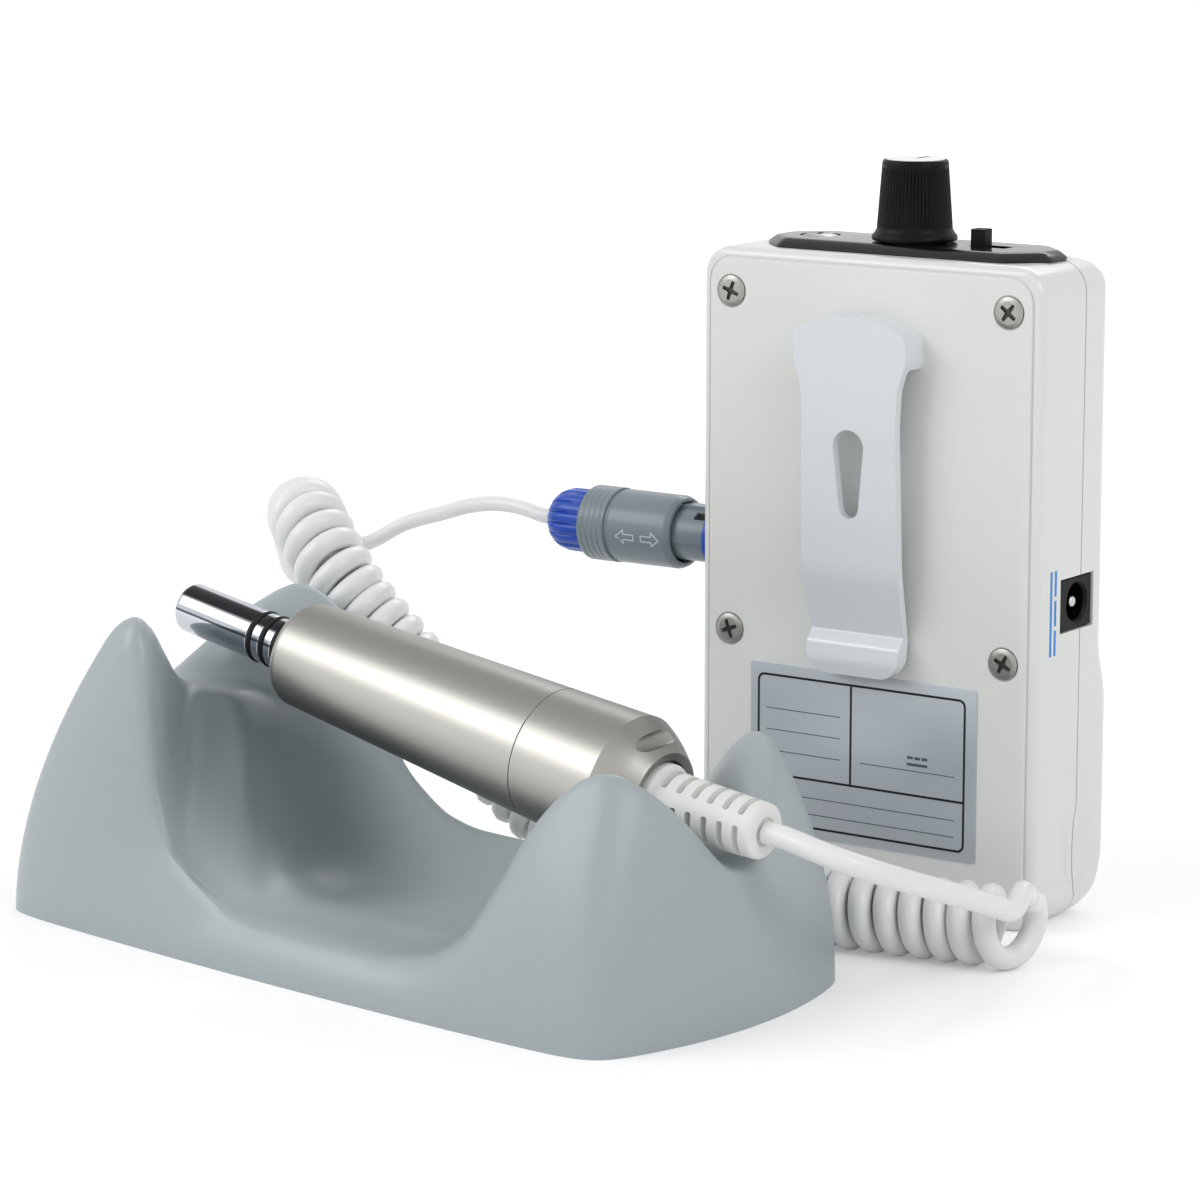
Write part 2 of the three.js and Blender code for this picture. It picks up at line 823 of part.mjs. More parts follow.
function topControls() {
  const outline = (inset) => {
    const [left, right, half] = [bezelLeft + inset, bezelRight - inset, bezel.halfDepth - inset];
    const c = bezel.chamfer - inset / 2;
    return [
      [left + c, -half],
      [right - c, -half],
      [right, -half + c],
      [right, half - c],
      [right - c, half],
      [left + c, half],
      [left, half - c],
      [left, -half + c],
    ];
  };
  const ring = (inset, z) => outline(inset).map(([x, y]) => new THREE.Vector3(x, y, z));
  const blank = loft([
    ring(0, shell.height),
    ring(0, bezelTop - bezel.edge),
    ring(bezel.edge, bezelTop),
  ]);
  const tray = prism("xy", outline(bezel.rim), bezelFloor, bezelTop + overrun);
  const slot = toggle.pegLength / 2 + gap;
  const plate = cut(
    blank, tray,
    rod("z", pot.bushRadius + gap, shell.height - overrun, bezelTop, [knob.along, 0, 0]),
    box(
      toggle.along - slot, toggle.along + toggle.travel + slot,
      -toggle.pegWidth / 2 - gap, toggle.pegWidth / 2 + gap,
      shell.height - overrun, bezelTop,
    ),
    rod("z", bezel.screwShankRadius + gap, shell.height - overrun, bezelTop, [bezelScrewAlong, 0, 0], 12),
  );
  piece("top_bezel", plate, blackGloss);

  const head = bezel.screwHeadHeight;
  const screwProfile = [
    [-bezel.screwLength, 0],
    [-bezel.screwLength, bezel.screwShankRadius],
    [0, bezel.screwShankRadius],
    [0, bezel.screwHeadRadius],
    [head / 3, bezel.screwHeadRadius],
    [(head * 3) / 4, (bezel.screwHeadRadius * 3) / 4],
    [head, bezel.screwHeadRadius / 3],
    [head, 0],
  ];
  piece("bezel_screw", turned("z", screwProfile, [bezelScrewAlong, 0, bezelFloor], 24), steel);

  // Speed knob over the potentiometer's nut
  const foot = bezelTop + knob.lift - bezel.height + bezel.floor;
  const top = foot + knob.height;
  const fluted = (radius, z) => {
    const count = 2 * knob.flutes;
    return Array.from({ length: count }, (_, i) => {
      const r = radius - (i % 2 ? knob.fluteDepth : 0);
      const angle = (2 * Math.PI * i) / count;
      return new THREE.Vector3(knob.along + r * Math.cos(angle), r * Math.sin(angle), z);
    });
  };
  const grip = loft([
    fluted(knob.footRadius, foot + knob.skirtHeight / 2),
    fluted(knob.topRadius, top - knob.crownHeight),
    fluted(knob.topRadius - knob.crownHeight, top),
  ]);
  const axis = [knob.along, 0, 0];
  const skirt = rod("z", knob.skirtRadius, foot, foot + knob.skirtHeight, axis, 32);
  const boreTop = top - knob.boreEnd;
  const dial = cut(
    join(grip, skirt),
    rod("z", knob.counterboreRadius, foot - overrun, foot + knob.counterboreDepth, axis),
    rod("z", pot.shaftRadius + gap, foot, boreTop, axis),
    rod("z", knob.capRadius + gap, top - knob.capDepth, top + overrun, axis, 24),
  );
  piece("speed_knob", dial, blackGloss);
  const cap = rod("z", knob.capRadius, top - knob.capDepth, top + knob.capProud, axis, 24);
  piece("knob_cap", cap, whiteShell);

  const potLow = ceiling - pot.bodyHeight;
  const potBody = cut(
    join(
      rod("z", pot.bodyRadius, potLow, ceiling, axis),
      rod("z", pot.bushRadius, potLow, bezelFloor + pot.nutHeight, axis),
    ),
    rod("z", pot.shaftRadius + gap, potLow + pot.shaftFoot, bezelTop + knob.height, axis),
  );
  piece("potentiometer_body", potBody, steel);
  const shaft = rod("z", pot.shaftRadius, potLow + pot.shaftFoot + gap, boreTop - gap, axis);
  piece("potentiometer_shaft", shaft, steel);
  const nut = cut(
    rod("z", pot.nutAcross / Math.sqrt(3), bezelFloor, bezelFloor + pot.nutHeight, axis, 6),
    rod("z", pot.bushRadius + gap, shell.height, bezelTop + pot.nutHeight, axis),
  );
  piece("potentiometer_nut", nut, brass);

  // Slide switch with its lever at the near end of the slot
  const middle = toggle.along + toggle.travel / 2;
  const bodyLow = ceiling - toggle.bodyHeight;
  const trackLow = bodyLow + toggle.bodyWall;
  const footHalf = toggle.footLength / 2;
  const switchBody = cut(
    box(
      middle - toggle.bodyLength / 2, middle + toggle.bodyLength / 2,
      -toggle.bodyWidth / 2, toggle.bodyWidth / 2, bodyLow, ceiling,
    ),
    box(
      toggle.along - footHalf - gap, toggle.along + toggle.travel + footHalf + gap,
      -toggle.pegWidth / 2 - gap, toggle.pegWidth / 2 + gap, trackLow, ceiling + overrun,
    ),
  );
  piece("slide_switch_body", switchBody, darkPlastic);
  const pegHalf = toggle.pegLength / 2;
  const lever = join(
    box(
      toggle.along - pegHalf, toggle.along + pegHalf, -toggle.pegWidth / 2, toggle.pegWidth / 2,
      trackLow + gap, shell.height + toggle.pegTop,
    ),
    box(
      toggle.along - footHalf, toggle.along + footHalf, -toggle.pegWidth / 2, toggle.pegWidth / 2,
      trackLow + gap, trackLow + gap + toggle.footHeight,
    ),
  );
  piece("slide_switch_lever", lever, darkPlastic);
}

function electronics() {
  const foil = finish(0x8f979e, 0.35, 0.6);
  for (let i = 0; i < cell.count; i += 1) {
    const near = stackNear + i * (cell.thickness + gap);
    const outline = roundedOutline(-cellHalf, cellHalf, cellLow, cellHigh, cell.corner);
    piece(`battery_cell_${i + 1}`, prism("xz", outline, near, near + cell.thickness, 3), foil);
  }
  const guardLow = cellHigh + gap;
  piece(
    "battery_protection_board",
    box(
      -guard.width / 2, guard.width / 2, stackNear + guard.lift, stackNear + guard.lift + guard.depth,
      guardLow, guardLow + guard.thickness,
    ),
    circuitGreen,
  );

  const boardOutline = roundedOutline(board.left, boardRight, board.low, boardHigh, board.corner);
  piece("control_board", prism("xz", boardOutline, boardNear, boardFar, 3), circuitGreen);
  const half = chip.size / 2;
  const chipFar = boardFar + chip.thickness;
  piece(
    "motor_driver_chip",
    box(chip.along - half, chip.along + half, boardFar, chipFar, chipHeight - half, chipHeight + half),
    darkPlastic,
  );
  const sinkHalf = sink.size / 2;
  const finPitch = (sink.size - sink.finWidth) / (sink.fins - 1);
  const fins = Array.from({ length: sink.fins }, (_, i) => {
    const left = chip.along - sinkHalf + i * finPitch;
    return box(
      left, left + sink.finWidth, chipFar + sink.base / 2, chipFar + sink.base + sink.finHeight,
      chipHeight - sinkHalf, chipHeight + sinkHalf,
    );
  });
  const sinkBase = box(
    chip.along - sinkHalf, chip.along + sinkHalf, chipFar, chipFar + sink.base,
    chipHeight - sinkHalf, chipHeight + sinkHalf,
  );
  piece("heat_sink", join(sinkBase, ...fins), steel);
  const can = [
    [0, 0],
    [0, capacitor.radius],
    [capacitor.length - capacitor.topRound, capacitor.radius],
    [capacitor.length, capacitor.radius - capacitor.topRound],
    [capacitor.length, 0],
  ];
  piece(
    "smoothing_capacitor",
    turned("y", can, [capacitor.along, boardFar, capacitorHeight], 20),
    darkPlastic,
  );

  // Charging socket, seated on the board's edge and open at the case's side
  const face = side - jack.recess;
  const boreAxis = [0, jack.boreAcross, jackHeight];
  const jackBody = cut(
    box(face - jack.depth, face, jackNear, jackNear + jack.width, jack.low, jack.low + jack.height),
    rod("x", jack.boreRadius, face - jack.boreDepth, face + overrun, boreAxis),
  );
  piece("charging_jack", jackBody, darkPlastic);
  const pin = rod("x", jack.pinRadius, face - jack.boreDepth, face - jack.pinRecess, boreAxis, 16);
  piece("charging_jack_pin", pin, steel);
}

// A key along the top of the plug's nose, or the keyway that it runs in
function keyBar(from, to, radius, slack) {
  const half = socket.keyWidth / 2 + slack;
  const rise = radius + socket.keyRise + slack;
  return box(from, to, socket.across - half, socket.across + half, socket.height, socket.height + rise);
}

function motorSocket() {
  const front = -side - socket.ringHeight;
  const discFace = -side + socket.bodyLength - socket.contactDisc;
  const keyway = keyBar(front - overrun, discFace, plug.noseRadius, gap);
  const ringOutline = [
    [front, socket.boreRadius],
    [front, socket.ringRadius - socket.ringRound],
    [front + socket.ringRound, socket.ringRadius],
    [-side, socket.ringRadius],
    [-side, socket.boreRadius],
    [front, socket.boreRadius],
  ];
  piece("socket_ring", cut(turned("x", ringOutline, socketAxis, 20), keyway), blue);

  const back = -side + socket.bodyLength;
  const body = cut(
    join(
      turned("x", ringProfile(-side, back, socket.boreRadius, socket.bodyRadius), socketAxis, 20),
      turned(
        "x",
        ringProfile(-sideInside, -sideInside + socket.flangeHeight, socket.boreRadius, socket.flangeRadius),
        socketAxis, 20,
      ),
    ),
    keyway,
    box(-side, 0, panelFace, clipInside + shell.innerRound + gap, 0, shell.height),
  );
  piece("socket_body", body, darkPlastic);
  const discFront = back - socket.contactDisc;
  const contacts = Array.from({ length: socket.contacts }, (_, i) => {
    const angle = (2 * Math.PI * i) / socket.contacts;
    const place = [
      0,
      socket.across + socket.contactCircle * Math.cos(angle),
      socket.height + socket.contactCircle * Math.sin(angle),
    ];
    return rod("x", socket.contactRadius, discFront - socket.contactLength, back, place, 8);
  });
  const disc = rod("x", socket.boreRadius - gap, discFront, back, socketAxis, 20);
  piece("socket_contacts", join(disc, ...contacts), brass);
}

function motorPlug() {
  const tip = -side - socket.ringHeight + plug.engaged;
  const mouth = -side - socket.ringHeight - plug.drawn;
  const cupEnd = tip - plug.cupDepth;
  const sleeveEnd = mouth - plug.sleeveLength;
  const bandEnd = sleeveEnd - plug.bandLength;
  const nose = join(
    turned("x", [
      [tip, plug.cupRadius],
      [tip, plug.noseRadius - plug.noseTipRound],
      [tip - plug.noseTipRound, plug.noseRadius],
      [mouth - plug.mouthDepth, plug.noseRadius],
      [mouth - plug.mouthDepth, plug.tailRadius],
      [mouth - plug.tailLength, plug.tailRadius],
      [mouth - plug.tailLength, 0],
      [cupEnd, 0],
      [cupEnd, plug.cupRadius],
      [tip, plug.cupRadius],
    ], socketAxis, 20),
    cut(
      keyBar(mouth - plug.mouthDepth, tip - plug.keyBack, plug.noseRadius, 0),
      rod("x", plug.tailRadius, mouth - plug.sleeveLength, tip, socketAxis),
    ),
  );
  piece("plug_nose", nose, plugGrey);
  const insert = rod("x", plug.insertRadius, cupEnd, cupEnd + plug.insertLength, socketAxis, 20);
  piece("plug_insert", insert, darkPlastic);

  // Sleeve that is pulled back to release the plug, with its ridged band
  const tailBore = plug.tailRadius + gap;
  const sleeve = turned("x", [
    [mouth, plug.mouthBore],
    [mouth, plug.mouthRadius],
    [sleeveEnd, plug.sleeveRadius],
    [sleeveEnd, tailBore],
    [mouth - plug.mouthDepth - plug.pull - gap, tailBore],
    [mouth - plug.mouthDepth - plug.pull - gap, plug.mouthBore],
    [mouth, plug.mouthBore],
  ], socketAxis, 20);
  const keyRoom = keyBar(mouth - plug.mouthDepth - plug.pull, mouth + overrun, plug.noseRadius, gap);
  piece("plug_sleeve", cut(sleeve, keyRoom), plugGrey);
  const ridgePitch = plug.bandLength / plug.bandRidges;
  const ridges = [];
  for (let i = 0; i < plug.bandRidges; i += 1) {
    const start = sleeveEnd - i * ridgePitch;
    ridges.push([start, plug.bandRadius - plug.ridgeDepth]);
    ridges.push([start - ridgePitch / 2, plug.bandRadius]);
  }
  const band = turned("x", [
    [sleeveEnd, plug.bandBore],
    ...ridges,
    [bandEnd, plug.bandRadius - plug.ridgeDepth],
    [bandEnd, plug.bandBore],
    [sleeveEnd, plug.bandBore],
  ], socketAxis, 20);
  piece("plug_band", band, plugGrey);

  // Fluted collet nut that grips the lead
  const nutFront = sleeveEnd - plug.pull - gap;
  const nutEnd = bandEnd - plug.nutLength + (bandEnd - sleeveEnd) / plug.bandRidges;
  const count = 3 * plug.nutFlutes;
  const nutRing = (x, radius, depth) =>
    Array.from({ length: count }, (_, i) => {
      const angle = (2 * Math.PI * i) / count;
      const r = radius - (i % 3 === 0 ? depth : 0);
      return new THREE.Vector3(x, socket.across + r * Math.cos(angle), socket.height + r * Math.sin(angle));
    });
  const domeStart = nutEnd + plug.nutDome;
  const domeRings = [30, 55, 75].map((degrees) => {
    const angle = THREE.MathUtils.degToRad(degrees);
    const radius = plug.nutEndRadius + (plug.nutRadius - plug.nutEndRadius) * Math.cos(angle);
    return nutRing(domeStart - plug.nutDome * Math.sin(angle), radius, 0);
  });
  const collet = cut(
    loft([
      nutRing(nutFront, plug.nutRadius, 0),
      nutRing(bandEnd, plug.nutRadius, 0),
      nutRing(bandEnd - plug.fluteDepth, plug.nutRadius, plug.fluteDepth),
      nutRing(domeStart, plug.nutRadius, plug.fluteDepth),
      ...domeRings,
      nutRing(nutEnd, plug.nutEndRadius, 0),
    ]),
    rod("x", plug.nutBore, mouth - plug.tailLength - gap, nutFront + overrun, socketAxis),
  );
  piece("plug_collet_nut", collet, blue);
  return new THREE.Vector3(nutEnd - gap, socket.across, socket.height);
}

function beltClip() {
  const base = panelFace;
  const face = base - clip.faceOut + shell.panelRise;
  const out = (distance) => base - distance;
  const rise = clip.rootTop - clip.rootShoulder;
  const archRadius = (clip.rootHalf ** 2 + rise ** 2) / (2 * rise);
  const archSpan = Math.asin(clip.rootHalf / archRadius);
  const rootShape = new THREE.Shape();
  rootShape.moveTo(-clip.rootHalf, clip.rootLow);
  rootShape.lineTo(clip.rootHalf, clip.rootLow);
  rootShape.lineTo(clip.rootHalf, clip.rootShoulder);
  rootShape.absarc(
    0, clip.rootTop - archRadius, archRadius,
    Math.PI / 2 - archSpan, Math.PI / 2 + archSpan,
  );
  const root = prism("xz", rootShape, face, base, 5);
  const bevel = prism("yz", [
    [face - overrun, clip.rootTop + overrun],
    [face - overrun, clip.rootShoulder],
    [face, clip.rootShoulder],
    [face + clip.rootRound, clip.rootTop + overrun],
  ], -clip.rootHalf - overrun, clip.rootHalf + overrun);
  piece("clip_root", cut(root, bevel), clearWhite);

  const t = clip.thickness;
  const hinge = clip.rootLow - gap;
  const sideProfile = [
    [face, hinge],
    [face, clip.waistHigh],
    [out(clip.slopeOut), clip.slopeLow],
    [out(clip.creaseOut), clip.crease],
    [out(clip.lipOut), clip.lipLow],
    [out(clip.lipOut) + t, clip.lipLow],
    [out(clip.creaseOut) + t, clip.crease],
    [out(clip.slopeOut) + t, clip.slopeLow],
    [face + t, clip.waistHigh],
    [face + t, hinge],
  ];
  const outline = new THREE.Shape();
  outline.moveTo(-clip.rootHalf, clip.rootLow);
  outline.bezierCurveTo(
    -clip.waistHalf, clip.rootLow - rise,
    -clip.waistHalf, clip.waistHigh + rise,
    -clip.waistHalf, clip.waistHigh,
  );
  outline.lineTo(-clip.flareHalf, clip.flareLow);
  outline.lineTo(-clip.lipHalf, clip.crease);
  outline.lineTo(-clip.lipHalf, clip.lipLow + clip.lipRound);
  outline.absarc(
    -clip.lipHalf + clip.lipRound, clip.lipLow + clip.lipRound, clip.lipRound, Math.PI, 1.5 * Math.PI,
  );
  outline.absarc(
    clip.lipHalf - clip.lipRound, clip.lipLow + clip.lipRound, clip.lipRound, 1.5 * Math.PI, 2 * Math.PI,
  );
  outline.lineTo(clip.lipHalf, clip.crease);
  outline.lineTo(clip.flareHalf, clip.flareLow);
  outline.lineTo(clip.waistHalf, clip.waistHigh);
  outline.bezierCurveTo(
    clip.waistHalf, clip.waistHigh + rise,
    clip.waistHalf, clip.rootLow - rise,
    clip.rootHalf, clip.rootLow,
  );
  const hole = new THREE.Shape();
  const holeHigh = clip.holeTop - clip.holeRadius;
  const holeLow = clip.holeLow + clip.holeTipRadius;
  const lean = Math.asin((clip.holeRadius - clip.holeTipRadius) / (holeHigh - holeLow));
  hole.absarc(0, holeHigh, clip.holeRadius, -lean, Math.PI + lean);
  hole.absarc(0, holeLow, clip.holeTipRadius, Math.PI + lean, 2 * Math.PI - lean);
  const far = base + shell.depth;
  const tongue = cut(
    prism("yz", sideProfile, -clip.rootHalf - overrun, clip.rootHalf + overrun).intersect(
      prism("xz", outline, face - overrun, far, 5),
    ),
    prism("xz", hole, face - overrun, far, 8),
  );
  piece("belt_clip", tongue, clearWhite);
}

// Outer radius of the handpiece at a place along its axis
const domeLength = motor.tailAlong - motor.bellyAlong;
const domeDrop = motor.bellyRadius - motor.tailRadius;
function bodyRadius(along) {
  const share = (along - motor.shoulderRound) / (motor.bellyAlong - motor.shoulderRound);
  return motor.shoulderRadius + (motor.bellyRadius - motor.shoulderRadius) * share;
}
const domePoints = tailDomeShares.map(([along, radius]) => [
  motor.bellyAlong + domeLength * along,
  motor.tailRadius + domeDrop * radius,
]);

function handpiece(parent) {
  const nose = motor.noseRadius;
  const bite = motor.ringBite;
  const grooveHalf = motor.ringRadius + gap / 2;
  const grooves = motor.ringPlaces.flatMap((place) => [
    [place - grooveHalf, nose],
    [place - grooveHalf, nose - bite],
    [place + grooveHalf, nose - bite],
    [place + grooveHalf, nose],
  ]);
  const flangeFront = motor.shoulderRound + gap;
  const flangeBack = flangeFront + motor.flangeLength;
  const pocket = bearing.radius + gap;
  const tip = -motor.noseLength;
  const spigot = turned("x", [
    [tip, motor.noseBore],
    [tip, nose - motor.noseTip],
    [tip + motor.noseTip / 3, nose - motor.noseTip / 3],
    [tip + motor.noseTip, nose],
    ...grooves,
    [flangeFront, nose],
    [flangeFront, motor.bore - gap],
    [flangeBack, motor.bore - gap],
    [flangeBack, pocket],
    [bearing.front - gap, pocket],
    [bearing.front - gap, motor.shaftBore],
    [rotor.shaftFront, motor.shaftBore],
    [rotor.shaftFront, motor.noseBore],
    [tip, motor.noseBore],
  ], [0, 0, 0], 18);
  piece("nose_spigot", spigot, steel, parent);
  const rubber = finish(0x111111, 0.7);
  motor.ringPlaces.forEach((place, i) => {
    const middle = nose - bite + gap + motor.ringRadius;
    const section = Array.from({ length: 7 }, (_, k) => {
      const angle = (2 * Math.PI * k) / 6;
      return [place + motor.ringRadius * Math.cos(angle), middle + motor.ringRadius * Math.sin(angle)];
    });
    piece(`nose_ring_${i + 1}`, turned("x", section, [0, 0, 0], 20), rubber, parent);
  });

  const round = motor.shoulderRound;
  const shoulder = [0, 30, 60, 90].map((degrees) => {
    const angle = THREE.MathUtils.degToRad(degrees);
    return [round - round * Math.cos(angle), motor.shoulderRadius - round + round * Math.sin(angle)];
  });
  const seamFront = motor.seam - gap / 2;
  const seamBack = motor.seam + gap / 2;
  const housing = turned("x", [
    [0, nose + gap],
    ...shoulder,
    [seamFront, bodyRadius(seamFront)],
    [seamFront, motor.bore],
    [round, motor.bore],
    [round, nose + gap],
    [0, nose + gap],
  ], [0, 0, 0], 32);
  piece("motor_housing", housing, motorGrey, parent);

  const bootBore = boot.rootRadius + 2 * gap;
  const hubFront = bearing.back - gap;
  const hubBack = bearing.back + bearing.width + gap;
  const bootFloor = boot.along - boot.rootLength - 2 * gap;
  const capBlank = turned("x", [
    [seamBack, bodyRadius(seamBack)],
    [motor.bellyAlong, motor.bellyRadius],
    ...domePoints,
    [motor.tailAlong, motor.tailRadius],
    [motor.tailAlong, bootBore],
    [bootFloor, bootBore],
    [bootFloor, bearing.radius - 2 * motor.wall],
    [hubBack, bearing.radius - 2 * motor.wall],
    [hubBack, pocket],
    [hubFront, pocket],
    [hubFront, motor.bore + gap],
    [seamBack, motor.bore + gap],
    [seamBack, bodyRadius(seamBack)],
  ], [0, 0, 0], 24);
  const scallops = Array.from({ length: motor.scallops }, (_, i) => {
    const ball = new THREE.SphereGeometry(1, 8, 6);
    ball.scale(motor.scallopLength / 2, motor.scallopWidth / 2, motor.scallopDepth);
    const surface = follow([[motor.bellyAlong, motor.bellyRadius], ...domePoints], motor.scallopAlong);
    const slope = Math.atan2(domeDrop, domeLength) / 2;
    ball.rotateY(slope);
    ball.translate(motor.scallopAlong, 0, surface + motor.scallopDepth / 4);
    ball.rotateX((2 * Math.PI * (i + 0.5)) / motor.scallops);
    return solid(ball);
  });
  piece("motor_rear_cap", cut(capBlank, ...scallops), motorGrey, parent);

  // Inside: stator magnet, brushes and bearings
  piece(
    "stator_magnet",
    turned("x", ringProfile(magnet.front, magnet.back, magnet.inner, magnet.outer), [0, 0, 0], 24),
    darkPlastic, parent,
  );
  const race = (from) => {
    const to = from + bearing.width;
    const low = bearing.bore + (bearing.radius - bearing.bore) / 3;
    const high = bearing.radius - bearing.groove * 2;
    return turned("x", [
      [from, bearing.bore],
      [from, low],
      [from + bearing.groove, (low + high) / 2],
      [from, high],
      [from, bearing.radius],
      [to, bearing.radius],
      [to, bearing.bore],
      [from, bearing.bore],
    ], [0, 0, 0], 16);
  };
  piece("front_bearing", race(bearing.front), steel, parent);
  piece("rear_bearing", race(bearing.back), steel, parent);
  const brushTop = brushRing.inner + brush.length;
  const windows = [-1, 1].map((sign) => {
    const half = brush.width / 2 + gap;
    const [near, far] = [sign * brushRing.inner - sign * overrun, sign * (brushTop + gap)];
    return box(
      brush.front - gap, brush.front + brush.height + gap,
      Math.min(near, far), Math.max(near, far), -half, half,
    );
  });
  const holder = turned(
    "x", ringProfile(brushRing.front, brushRing.back, brushRing.inner, brushRing.outer), [0, 0, 0], 24,
  );
  piece("brush_holder", cut(holder, ...windows), darkPlastic, parent);
  const carbon = finish(0x2b2b2b, 0.8);
  [-1, 1].forEach((sign, i) => {
    const [inner, outer] = [sign * brushRing.inner, sign * brushTop];
    piece(`carbon_brush_${i + 1}`, box(
      brush.front, brush.front + brush.height,
      Math.min(inner, outer), Math.max(inner, outer), -brush.width / 2, brush.width / 2,
    ), carbon, parent);
  });

  // Rotor
  const core = rod("x", rotor.coreRadius, rotor.coreFront, rotor.coreBack, [0, 0, 0], 28);
  const slots = Array.from({ length: rotor.slots }, (_, i) => {
    const geometry = new THREE.BoxGeometry(
      rotor.coreBack - rotor.coreFront + 2 * overrun, rotor.slotWidth, rotor.slotDepth + overrun,
    );
    geometry.translate(
      (rotor.coreFront + rotor.coreBack) / 2, 0,
      rotor.coreRadius + overrun - (rotor.slotDepth + overrun) / 2,
    );
    return solid(geometry.rotateX((2 * Math.PI * i) / rotor.slots));
  });
  const shaftHole = (from, to) =>
    rod("x", rotor.shaftRadius + gap, from - overrun, to + overrun, [0, 0, 0], 16);
  piece(
    "rotor_core",
    cut(core, ...slots, shaftHole(rotor.coreFront, rotor.coreBack)), brass, parent,
  );
  const shaft = rod("x", rotor.shaftRadius, rotor.shaftFront + gap, rotor.shaftBack, [0, 0, 0], 16);
  piece("rotor_shaft", shaft, steel, parent);
  const segments = turned(
    "x",
    ringProfile(
      rotor.commutatorFront, rotor.commutatorBack, rotor.shaftRadius + gap, rotor.commutatorRadius,
    ),
    [0, 0, 0], 20,
  );
  piece("commutator", segments, brass, parent);
  const dogSlot = rotor.dogSlotWidth / 2;
  const dog = cut(
    rod("x", rotor.dogRadius, rotor.dogFront, rotor.shaftFront, [0, 0, 0], 20),
    box(
      rotor.dogFront - overrun, rotor.dogFront + rotor.dogSlotDepth,
      -dogSlot, dogSlot, -rotor.dogRadius - overrun, rotor.dogRadius + overrun,
    ),
  );
  piece("drive_dog", dog, steel, parent);

  // Strain relief with two staggered rows of slots
  const bootGroup = new THREE.Group();
  bootGroup.position.set(boot.along, 0, 0);
  bootGroup.rotation.y = -boot.lift;
  parent.add(bootGroup);
  const sleeve = turned("x", [
    [-boot.rootLength, 0],
    [-boot.rootLength, boot.rootRadius],
    [boot.collarLength, boot.rootRadius],
    [boot.length, boot.endRadius],
    [boot.length, 0],
  ], [0, 0, 0], 20);
  const cuts = Array.from({ length: boot.slots }, (_, i) => {
    const from = boot.slotStart + i * boot.slotPitch;
    const outer = boot.rootRadius + overrun;
    return [-1, 1].map((sign) => {
      const [low, high] = sign < 0 ? [-outer, -boot.core] : [boot.core, outer];
      return i % 2
        ? box(from, from + boot.slotWidth, low, high, -outer, outer)
        : box(from, from + boot.slotWidth, -outer, outer, low, high);
    });
  });
  piece("strain_relief_boot", cut(sleeve, ...cuts.flat()), cordWhite, bootGroup);
  return bootGroup;
}

// Cradle: a point of its wall at height z, for a place (p, q) on the unit square's edge
const bow = (reach, depth, b) => reach - depth * b * b;

// Height of the cradle's top over a point of its plan, which runs from -1 to 1 both ways
function topHeight(a, b) {
  const waist = THREE.MathUtils.lerp(cradle.frontWaist, cradle.backWaist, (1 + b) / 2);
  const left = a < 0;
  const rimShare = left
    ? THREE.MathUtils.lerp(follow(frontLeftRimShares, a), follow(backLeftRimShares, a), (1 + b) / 2)
    : follow(rightRimShares, a);
  const rim = waist + ((left ? cradle.leftHorn : cradle.rightHorn) - waist) * rimShare;
  const spineShare = left ? follow(leftSpineShares, a) : follow(rightSpineShares, a);
  const saddle = left ? cradle.leftSaddle : cradle.rightSaddle;
  const spine = cradle.tubFloor + (saddle - cradle.tubFloor) * spineShare;
  const edge = Math.max(0, 1 - (1 - Math.max(Math.abs(a), Math.abs(b))) / planShares.edge);
  const round = (cradle.edgeRound * edge * edge * rim) / cradle.leftHorn;
  return spine + (rim - spine) * follow(acrossShares, Math.abs(b)) - round;
}

// Place of a plan point on the top, or under it on the floor
function planPoint(a, b, onTop) {
  const lean = (full, end, horn) => (onTop ? full * (topHeight(end, b) / horn) ** planShares.endPower : 0);
  const left = -bow(cradle.leftReach, cradle.leftBow, b) + lean(cradle.leftLean, -1, cradle.leftHorn);
  const right = bow(cradle.rightReach, cradle.rightBow, b) - lean(cradle.rightLean, 1, cradle.rightHorn);
  const u = (left * (1 - a) + right * (1 + a)) / 2;
  const along = u / cradle.rightReach;
  const width = cradle.halfWidth * (1 + planShares.taper * along - planShares.curve * along * along);
  const hornLean = a < 0 ? cradle.leftSideLean : cradle.rightSideLean;
  const sideLean = THREE.MathUtils.lerp(cradle.waistLean, hornLean, Math.abs(a) ** planShares.sidePower);
  return onTop
    ? new THREE.Vector3(u, b * (width - sideLean), topHeight(a, b))
    : new THREE.Vector3(u, b * width, 0);
}

